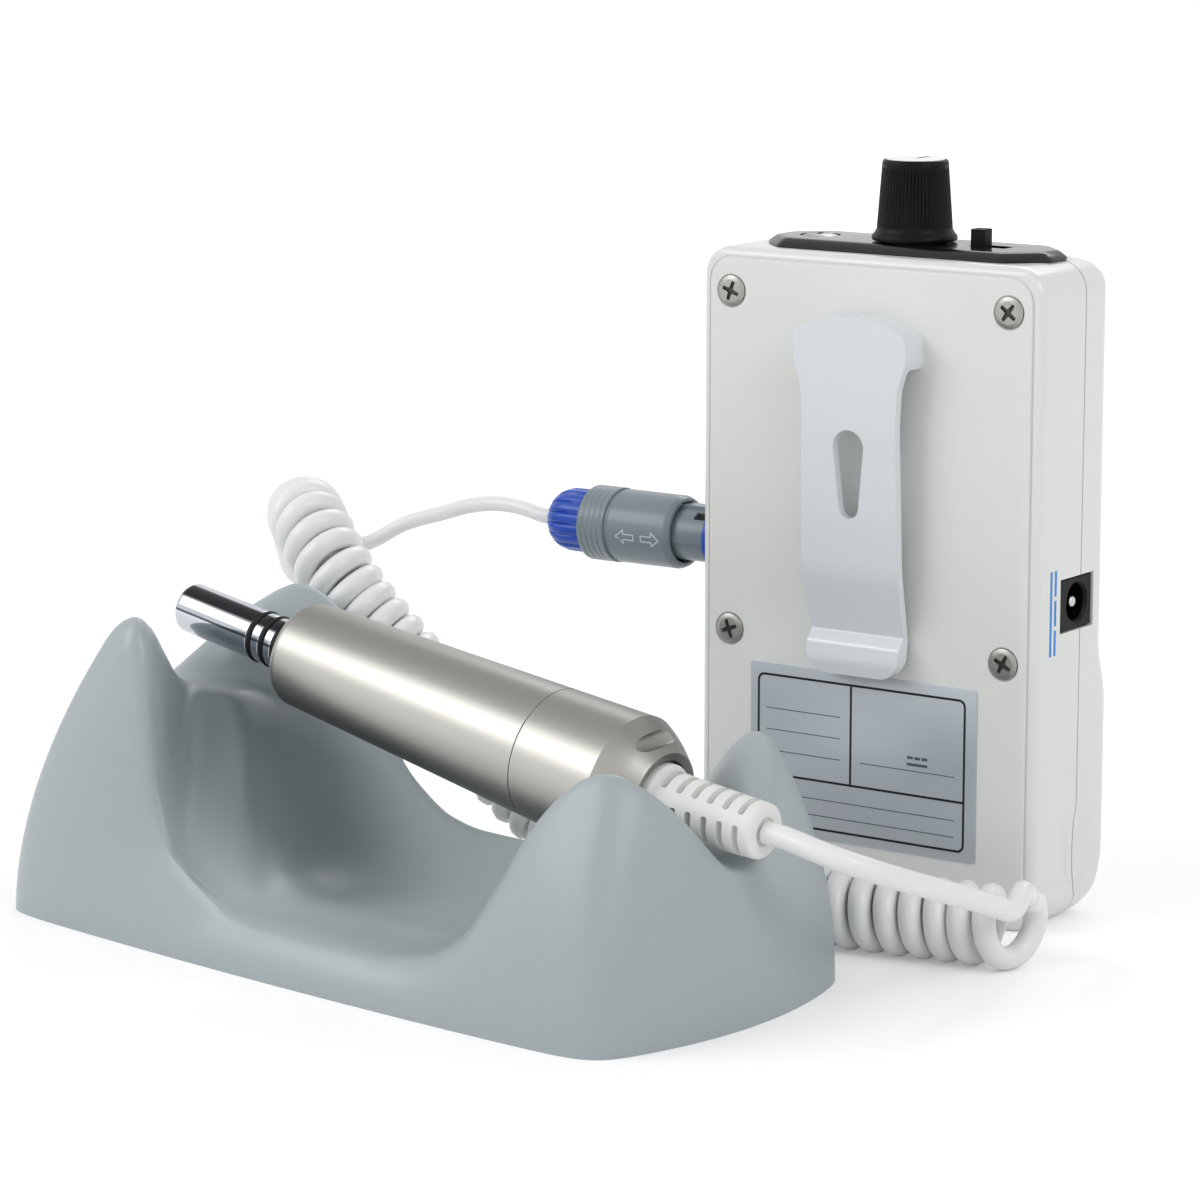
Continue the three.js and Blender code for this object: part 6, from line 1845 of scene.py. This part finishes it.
@dataclass
class Handpiece:
    """The motor handpiece: chromed nose, satin body, tail cap and boot, drawn along its own axis."""

    cradle_along: float = -52.0
    cradle_across: float = -81.1
    cradle_turn: float = radians(-4)
    along: float = -21.5
    height: float = 49.15
    tilt: float = radians(10.05)
    nose_length: float = 27.8
    nose_radius: float = 4.5
    nose_bore: float = 1.2
    # The nose's hidden flange and bores, from its front to its back
    nose_root: tuple = ((2.8, 7.9), (9.2, 7.9), (9.2, 5.8), (4.3, 5.8), (4.3, 1.6), (-18.5, 1.6))
    shoulder_radius: float = 9.3
    shoulder_round: float = 2.5
    seam: float = 58.2
    seam_half: float = 0.06
    belly_along: float = 75.2
    belly_radius: float = 12.2
    tail_along: float = 82.0
    tail_radius: float = 8.0
    ring_places: Point3 = (-8.9, -5.9, -3.0)
    ring_radius: float = 0.5
    ring_proud: float = 0.22
    ring_slack: float = 0.12
    bore: float = 8.2
    # The tail cap's hidden bores, from its back to its front
    cap_bores: tuple = ((79.8, 3.3), (66.2, 3.3), (66.2, 5.8), (61.6, 5.8))
    dome: tuple = ((0.3, 0.76), (0.6, 0.47), (0.85, 0.18))
    dome_steps: int = 24
    scallops: int = 4
    scallop_turn: float = 4.0
    scallop_along: float = 79.6
    scallop_depth: float = 1.3
    wheel_radius: float = 30.0
    wheel_edge: float = 1.6
    boot_along: float = 84.0
    boot_lift: float = radians(4.25)
    boot_root: float = 3.6
    boot_length: float = 19.2
    boot_radius: float = 5.15
    boot_collar: float = 6.2
    boot_end: float = 4.7
    slots: int = 6
    slot_rows: int = 4
    slot_turn: float = 18.0
    slot_start: float = 0.05
    slot_pitch: float = 3.15
    slot_width: float = 1.25
    slot_half: float = 2.6
    slot_depth: float = 2.0

    @property
    def cradle_matrix(self) -> Matrix:
        """From the cradle's own frame to the row frame."""
        return (Matrix.Translation((self.cradle_along, self.cradle_across, 0))
                @ Matrix.Rotation(self.cradle_turn, 4, "Z"))

    @property
    def tilted(self) -> Matrix:
        """From the handpiece's own axis to the cradle's frame."""
        return Matrix.Translation((self.along, 0, self.height)) @ Matrix.Rotation(self.tilt, 4, "Y")

    @property
    def matrix(self) -> Matrix:
        """From the handpiece's own axis to the row frame."""
        return self.cradle_matrix @ self.tilted

    @property
    def boot_local(self) -> Matrix:
        """From the boot's own axis to the handpiece's."""
        return Matrix.Translation((self.boot_along, 0, 0)) @ Matrix.Rotation(-self.boot_lift, 4, "Y")

    def cord_exit(self) -> tuple[Vector, Vector]:
        """Where the cord leaves the boot, and the way in which it does.

        Returns:
            The place, and the way as a vector of length 1.
        """
        matrix = self.matrix @ self.boot_local
        tip = matrix @ Vector((self.boot_length + GAP, 0, 0))
        return tip, (matrix.to_3x3() @ RIGHT).normalized()

    def body_radius(self, along: float) -> float:
        """The body's radius at a place along its axis, up to its belly."""
        share = (along - self.shoulder_round) / (self.belly_along - self.shoulder_round)
        return self.shoulder_radius + (self.belly_radius - self.shoulder_radius) * share

    def dome_points(self) -> list[Point2]:
        """The tail dome's outline between the belly and the tail."""
        length = self.tail_along - self.belly_along
        drop = self.belly_radius - self.tail_radius
        return [(self.belly_along + length * a, self.tail_radius + drop * r) for a, r in self.dome]

    def _nose(self) -> None:
        """Makes the chromed nose with its three grooves and rubber rings."""
        radius, half = self.nose_radius, self.ring_radius + self.ring_slack
        middle = radius + self.ring_proud - self.ring_radius
        outline = [(-self.nose_length, self.nose_bore), (-self.nose_length, radius)]
        radii = [0.3, 3.2]
        for place in self.ring_places:
            outline += [(place - half, radius), (place - half, middle - self.ring_radius),
                        (place + half, middle - self.ring_radius), (place + half, radius)]
            radii += [0.14, 0, 0, 0.14]
        first, last = self.nose_root[0][0], self.nose_root[-1][0]
        outline += [(first, radius), *self.nose_root, (last, self.nose_bore)]
        outline = rounded(outline, radii + [0] * (len(outline) - len(radii)), 8)
        nose = moved(turned([*outline, outline[0]]), self.matrix)
        publish(nose, "nose_spigot_chrome", NOSE_CHROME, "handpiece", "nose_spigot", crease=40)
        for i, place in enumerate(self.ring_places):
            section = arc((place, middle), self.ring_radius, 0, 360, 16)[:-1]
            ring = turned([*section, section[0]])
            publish(moved(ring, self.matrix), f"nose_o_ring_{i + 1}", RING_RUBBER, "handpiece",
                    f"nose_ring_{i + 1}", crease=80)

    def _body(self) -> None:
        """Makes the satin body up to its seam."""
        end = self.seam - self.seam_half
        outline = rounded([
            (0, self.nose_radius + GAP), (0, self.shoulder_radius), (end, self.body_radius(end)),
            (end, self.bore), (self.shoulder_round, self.bore),
            (self.shoulder_round, self.nose_radius + GAP),
        ], [0.3, self.shoulder_round, 0.12, 0, 0, 0], 10)
        body = moved(turned([*outline, outline[0]], steps=WIDE_ROUND), self.matrix)
        publish(body, "motor_housing_body", MOTOR_SATIN, "handpiece", "motor_housing", crease=30)

    def _tail(self) -> None:
        """Makes the tail cap with its cut hollows."""
        start, belly, tail = self.seam + self.seam_half, self.belly_along, self.tail_along
        table = [(belly, self.belly_radius), *self.dome_points(), (tail, self.tail_radius)]
        places = [belly + (tail - belly) * k / self.dome_steps for k in range(self.dome_steps)]
        dome = [(place, follow(table, place)) for place in places]
        wide, bore = self.boot_collar + 0.4, self.bore + GAP
        front, back = self.cap_bores[-1][0], self.cap_bores[0][0]
        inner = [(tail - 0.4, wide), (back, wide), *self.cap_bores, (front, bore), (start, bore)]
        first = rounded([(start + 0.6, self.bore), (start, self.body_radius(start)),
                         (belly - 5, self.body_radius(belly - 5))], [0, 0.08, 0], 3, closed=False)[1:]
        last = rounded([dome[-1], (tail, self.tail_radius), inner[0]], [0, 0.25, 0], 4, closed=False)
        outline = [*first, *dome[:-1], *last, *inner[1:]]
        cap = turned([*outline, outline[0]], steps=WIDE_ROUND)
        surface = follow(table, self.scallop_along)
        behind = follow(table, self.scallop_along - 0.5)
        lean = atan2(behind - surface, 0.5)
        rim = arc((0, self.wheel_radius - self.wheel_edge), self.wheel_edge, 180, 0, 16)
        wheel = [(-self.wheel_edge, 0), *rim, (self.wheel_edge, 0)]
        tools = []
        for i in range(self.scallops):
            turn = Matrix.Rotation(radians(self.scallop_turn + 360 * i / self.scallops), 4, "X")
            lift = Matrix.Translation((self.scallop_along, 0, surface)) @ Matrix.Rotation(lean, 4, "Y")
            away = Matrix.Translation((0, 0, self.wheel_radius - self.scallop_depth))
            tools.append(moved(turned(wheel, steps=WIDE_ROUND), turn @ lift @ away))
        cap = moved(cut(cap, *tools), self.matrix)
        publish(cap, "motor_tail_cap", MOTOR_SATIN, "handpiece", "motor_rear_cap", crease=11)

    def _boot(self) -> None:
        """Makes the slotted boot that keeps the cord from kinking."""
        length, radius = self.boot_length, self.boot_radius
        outline = rounded([
            (-self.boot_root, 0), (-self.boot_root, self.boot_collar), (-1.3, self.boot_collar),
            (-0.6, radius + 0.25), (3.2, radius), (length - 1.6, self.boot_end + 0.05),
            (length, self.boot_end), (length, 2.5), (length - 0.5, 2.1), (length - 0.5, 0),
        ], [0, 0.3, 0.5, 0.8, 0.3, 0.5, 0.9, 0.3, 0.1, 0], 5, closed=False)
        boot = turned(outline)
        tools = []
        for row in range(self.slot_rows):
            turn = Matrix.Rotation(radians(self.slot_turn + 360 * row / self.slot_rows), 4, "X")
            for i in range(self.slots):
                start = self.slot_start + i * self.slot_pitch
                end = start + self.slot_width
                outline = oblong(start, end, -self.slot_half, self.slot_half, 0.4, 3)
                slot = prism(outline, Plane.XY, radius - self.slot_depth, radius + OVERRUN)
                tools.append(moved(slot, turn))
        boot = moved(cut(boot, merged(*tools)), self.matrix @ self.boot_local)
        publish(boot, "strain_relief_sleeve", BOOT_WHITE, "handpiece", "strain_relief_boot", crease=40,
                edge=0.12)

    def build(self) -> None:
        """Makes the handpiece's outer pieces."""
        self._nose()
        self._body()
        self._tail()
        self._boot()

    def _room(self, stations: Sequence[Point2], matrix: Matrix, high: float) -> Shape:
        """The room that a stretch of the handpiece needs in the cradle, open upwards.

        Args:
            stations: Places along the stretch, each with a radius.
            matrix: From the stretch's axis to the cradle's frame.
            high: How far up it opens.

        Returns:
            The room.
        """
        rings = []
        for along, radius in stations:
            r = radius + SEAT_GAP
            ring = [Vector((along, r * cos(a), r * sin(a)))
                    for a in (pi + pi * k / 32 for k in range(33))]
            ring += [Vector((along, r, high)), Vector((along, -r, high))]
            rings.append([matrix @ point for point in ring])
        return loft(rings)

    def seats(self, high: float) -> list[Shape]:
        """The rooms of body, nose and boot in the cradle's frame.

        Args:
            high: How far up they open.

        Returns:
            The three rooms.
        """
        body = [(-GAP, self.shoulder_radius), (self.shoulder_round, self.shoulder_radius),
                (self.belly_along, self.belly_radius), *self.dome_points(),
                (self.tail_along, self.tail_radius)]
        nose = self.nose_radius + self.ring_proud
        boot = [(-self.boot_root, self.boot_radius), (3.2, self.boot_radius),
                (self.boot_length, self.boot_end), (self.boot_length + self.boot_root, self.boot_end)]
        return [
            self._room(body, self.tilted, high),
            self._room([(-self.nose_length - GAP, nose), (0, nose)], self.tilted, high),
            self._room(boot, self.tilted @ self.boot_local, high),
        ]


@dataclass
class Cradle:
    """The grey rest: a long block with four soft horns, a hollow between them and two saddles."""

    left_reach: float = 74.5
    right_reach: float = 78.6
    left_bow: float = 4.5
    right_bow: float = 7.3
    half_width: float = 32.2
    left_horn: float = 56.2
    right_horn: float = 43.9
    left_lean: float = 26.4
    right_lean: float = 5.0
    left_side_lean: float = 5.5
    right_side_lean: float = 12.0
    waist_lean: float = 3.0
    left_saddle: float = 41.0
    right_saddle: float = 27.6
    tub_floor: float = 7.0
    front_waist: float = 8.5
    back_waist: float = 15.0
    edge_round: float = 3.0
    taper: float = 0.132
    curve: float = 0.082
    corner: float = 18.0
    end_power: float = 1.7
    side_power: float = 2.4
    crowding: float = 0.3
    edge: float = 0.15
    length_steps: int = 56
    width_steps: int = 24
    wall_rings: int = 16
    # The rounding of the rims: passes, and the height and angle from which an edge takes part
    relax_passes: int = 3
    relax_low: float = 2.0
    relax_angle: float = radians(25)
    front_left_rim: tuple = (
        (-1, 0.965), (-0.93, 0.995), (-0.86, 1), (-0.81, 0.88), (-0.775, 0.63), (-0.73, 0.32), (-0.64, 0.12),
        (-0.53, 0.045), (-0.38, 0.01), (0, 0))
    back_left_rim: tuple = (
        (-1, 0.93), (-0.93, 0.985), (-0.856, 1), (-0.75, 0.95), (-0.65, 0.66), (-0.53, 0.25),
        (-0.445, 0.14), (-0.34, 0.055), (-0.22, 0.015), (0, 0))
    right_rim: tuple = (
        (0, 0), (0.2, 0), (0.31, 0.02), (0.42, 0.07), (0.54, 0.22), (0.64, 0.48), (0.73, 0.74),
        (0.81, 0.9), (0.88, 0.98), (0.94, 1), (1, 0.96))
    left_spine: tuple = (
        (-1, 0.98), (-0.9, 1), (-0.77, 1), (-0.63, 0.985), (-0.56, 0.87), (-0.49, 0.6), (-0.42, 0.32),
        (-0.34, 0.1), (-0.25, 0.02), (0, 0))
    right_spine: tuple = (
        (0, 0), (0.34, 0.01), (0.48, 0.1), (0.6, 0.35), (0.72, 0.7), (0.8, 0.88), (0.9, 0.98), (1, 1))
    across: tuple = (
        (0, 0), (0.12, 0.03), (0.24, 0.15), (0.36, 0.36), (0.48, 0.58), (0.6, 0.76), (0.72, 0.9),
        (0.84, 1), (0.92, 0.98), (1, 0.86))

    def top_height(self, a: float, b: float) -> float:
        """Height of the top over a point of the plan, which runs from -1 to 1 both ways.

        Args:
            a: The point's place along the cradle.
            b: Its place across.

        Returns:
            The height.
        """
        share = (1 + b) / 2
        waist = self.front_waist + (self.back_waist - self.front_waist) * share
        if a < 0:
            front, back = follow(self.front_left_rim, a), follow(self.back_left_rim, a)
            rim_share, horn = front + (back - front) * share, self.left_horn
            spine_share, saddle = follow(self.left_spine, a), self.left_saddle
        else:
            rim_share, horn = follow(self.right_rim, a), self.right_horn
            spine_share, saddle = follow(self.right_spine, a), self.right_saddle
        rim = waist + (horn - waist) * rim_share
        spine = self.tub_floor + (saddle - self.tub_floor) * spine_share
        near = max(0.0, 1 - (1 - max(abs(a), abs(b))) / self.edge)
        drop = self.edge_round * near * near * rim / self.left_horn
        return spine + (rim - spine) * follow(self.across, abs(b)) - drop

    def plan(self, a: float, b: float, on_top: bool) -> Vector:
        """Place of a plan point on the top, or under it on the floor.

        Args:
            a: The point's place along the cradle, from -1 to 1.
            b: Its place across.
            on_top: Whether it is on the top.

        Returns:
            The place.
        """
        left = -(self.left_reach - self.left_bow * b * b)
        right = self.right_reach - self.right_bow * b * b
        if on_top:
            left += self.left_lean * (self.top_height(-1, b) / self.left_horn) ** self.end_power
            right -= self.right_lean * (self.top_height(1, b) / self.right_horn) ** self.end_power
        u = (left * (1 - a) + right * (1 + a)) / 2
        along = u / self.right_reach
        width = self.half_width * (1 + self.taper * along - self.curve * along * along)
        if not on_top:
            return Vector((u, b * width, 0))
        horn_lean = self.left_side_lean if a < 0 else self.right_side_lean
        lean = self.waist_lean + (horn_lean - self.waist_lean) * abs(a) ** self.side_power
        return Vector((u, b * (width - lean), self.top_height(a, b)))

    def _place(self, p: float, q: float) -> Point2:
        """A grid point drawn in at the plan's rounded corners.

        Args:
            p: The point's place along the cradle.
            q: Its place across.

        Returns:
            The point's new place.
        """
        ends, sides = abs(p), abs(q)
        norm = (ends ** self.corner + sides ** self.corner) ** (1 / self.corner)
        scale = max(ends, sides) / norm if norm > 0 else 1.0
        return p * scale, q * scale

    def _stations(self, steps: int) -> list[float]:
        """Grid lines from -1 to 1 that crowd a little towards the edges."""
        even = [i / steps for i in range(-steps, steps + 1)]
        return [e + (sin(e * pi / 2) - e) * self.crowding for e in even]

    def blank(self) -> Shape:
        """The cradle before the handpiece's seat is cut, in its own frame.

        Returns:
            The cradle's mesh.
        """
        lengths, widths = self._stations(self.length_steps), self._stations(self.width_steps)
        bm = bmesh.new()
        bmesh.ops.create_grid(bm, x_segments=len(lengths) - 1, y_segments=len(widths) - 1, size=1)
        for vert in bm.verts:
            i = round((vert.co.x + 1) / 2 * (len(lengths) - 1))
            j = round((vert.co.y + 1) / 2 * (len(widths) - 1))
            vert.co = (lengths[i], widths[j], 0)
        plan = {vert: self._place(vert.co.x, vert.co.y) for vert in bm.verts}
        rim = [edge for edge in bm.edges if edge.is_boundary]
        for vert, (a, b) in plan.items():
            vert.co = self.plan(a, b, True)
        above = {vert: (plan[vert], vert.co.copy()) for edge in rim for vert in edge.verts}
        edges = rim
        for ring in range(self.wall_rings - 1, -1, -1):
            share = ring / self.wall_rings
            made = bmesh.ops.extrude_edge_only(bm, edges=edges)["geom"]
            fresh = [part for part in made if isinstance(part, bmesh.types.BMVert)]
            below = {}
            for vert in fresh:
                parent = next(
                    other for other in (edge.other_vert(vert) for edge in vert.link_edges) if other in above)
                spot, top = above[parent]
                foot = self.plan(spot[0], spot[1], False)
                vert.co = (
                    foot.x + (top.x - foot.x) * share ** self.end_power,
                    foot.y + (top.y - foot.y) * share ** self.side_power,
                    top.z * share,
                )
                below[vert] = (spot, top)
            edges = [edge for edge in bm.edges
                     if edge.verts[0] in below and edge.verts[1] in below and edge.is_boundary]
            above = below
        bmesh.ops.holes_fill(bm, edges=edges)
        bmesh.ops.recalc_face_normals(bm, faces=bm.faces[:])
        return bm

    def build(self, handpiece: Handpiece) -> None:
        """Makes the cradle and cuts the handpiece's seat into it.

        Args:
            handpiece: The handpiece that lies in it.
        """
        blank = self.blank()
        for _ in range(self.relax_passes):
            rims = [vert for vert in blank.verts if vert.co.z > self.relax_low and any(
                edge.calc_face_angle(0) > self.relax_angle for edge in vert.link_edges)]
            near = {other for vert in rims for edge in vert.link_edges for other in edge.verts}
            bmesh.ops.smooth_vert(blank, verts=list(near), factor=0.5, use_axis_x=True, use_axis_y=True,
                                  use_axis_z=True)
        cradle = moved(cut(blank, *handpiece.seats(self.left_horn)), handpiece.cradle_matrix)
        publish(cradle, "cradle_rest", CRADLE_GREY, "base", "cradle", crease=38)


INNER_FINISHES: dict[Finish, str] = {
    ALUMINIUM: "potentiometer_body potentiometer_shaft slide_switch_body heat_sink",
    DARK_STEEL_AND_RECESS_SHADE: "potentiometer_nut",
    CELL_POUCH: "battery_cell_1 battery_cell_2 battery_cell_3 battery_cell_4",
    BOARD_GREEN: "battery_protection_board control_board",
    DARK_PLASTIC: "motor_driver_chip smoothing_capacitor plug_insert brush_holder",
    BRASS: "socket_contacts commutator",
    MAGNET_IRON: "stator_magnet carbon_brush_1 carbon_brush_2 rotor_core",
    BRIGHT_STEEL: "front_bearing rear_bearing rotor_shaft drive_dog",
}


def dress_inner_solids() -> None:
    """Gives each solid that stays in the scene its finish."""
    for finish, names in INNER_FINISHES.items():
        for name in names.split():
            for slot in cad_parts[name].material_slots:
                slot.material = finish.material()
            LOG.info("%s: kept, %s", name, finish.name)


def main() -> None:
    """Builds the set, camera and cords first."""
    logging.basicConfig(level=logging.INFO, format="%(name)s %(message)s")
    for make in (tone_drift, handling_marks, fine_grain):
        make()
    hollow_shade(*HOLLOW)
    painted_reflection_bands("polished_painted_reflections", *POLISHED_PAINTED_REFLECTIONS)
    painted_reflection_bands("satin_painted_reflections", *SATIN_PAINTED_REFLECTIONS)
    studio = Studio()
    studio.camera()
    handpiece, plug = Handpiece(), MotorPlug()
    tip, ahead = handpiece.cord_exit()
    CurlyCord().build(ahead, tip, Vector((plug.nut_end - GAP, plug.y, plug.z)))
    studio.light()
    studio.floor()

    case, top, jack = ControlCase(), TopControls(), ChargingJack()
    roof = (case.height - case.wall - OVERRUN, case.height + OVERRUN)
    case.build([jack.opening, plug.opening, lambda: top.slot(*roof), lambda: top.bush_room(*roof)])
    case.fasten()
    case.stick_label()
    top.plate()
    top.knob()
    top.lever()
    jack.build()
    plug.socket()
    plug.plug()
    BeltClip().build()
    handpiece.build()
    Cradle().build(handpiece)
    dress_inner_solids()

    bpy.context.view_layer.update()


if __name__ == "__main__":
    main()
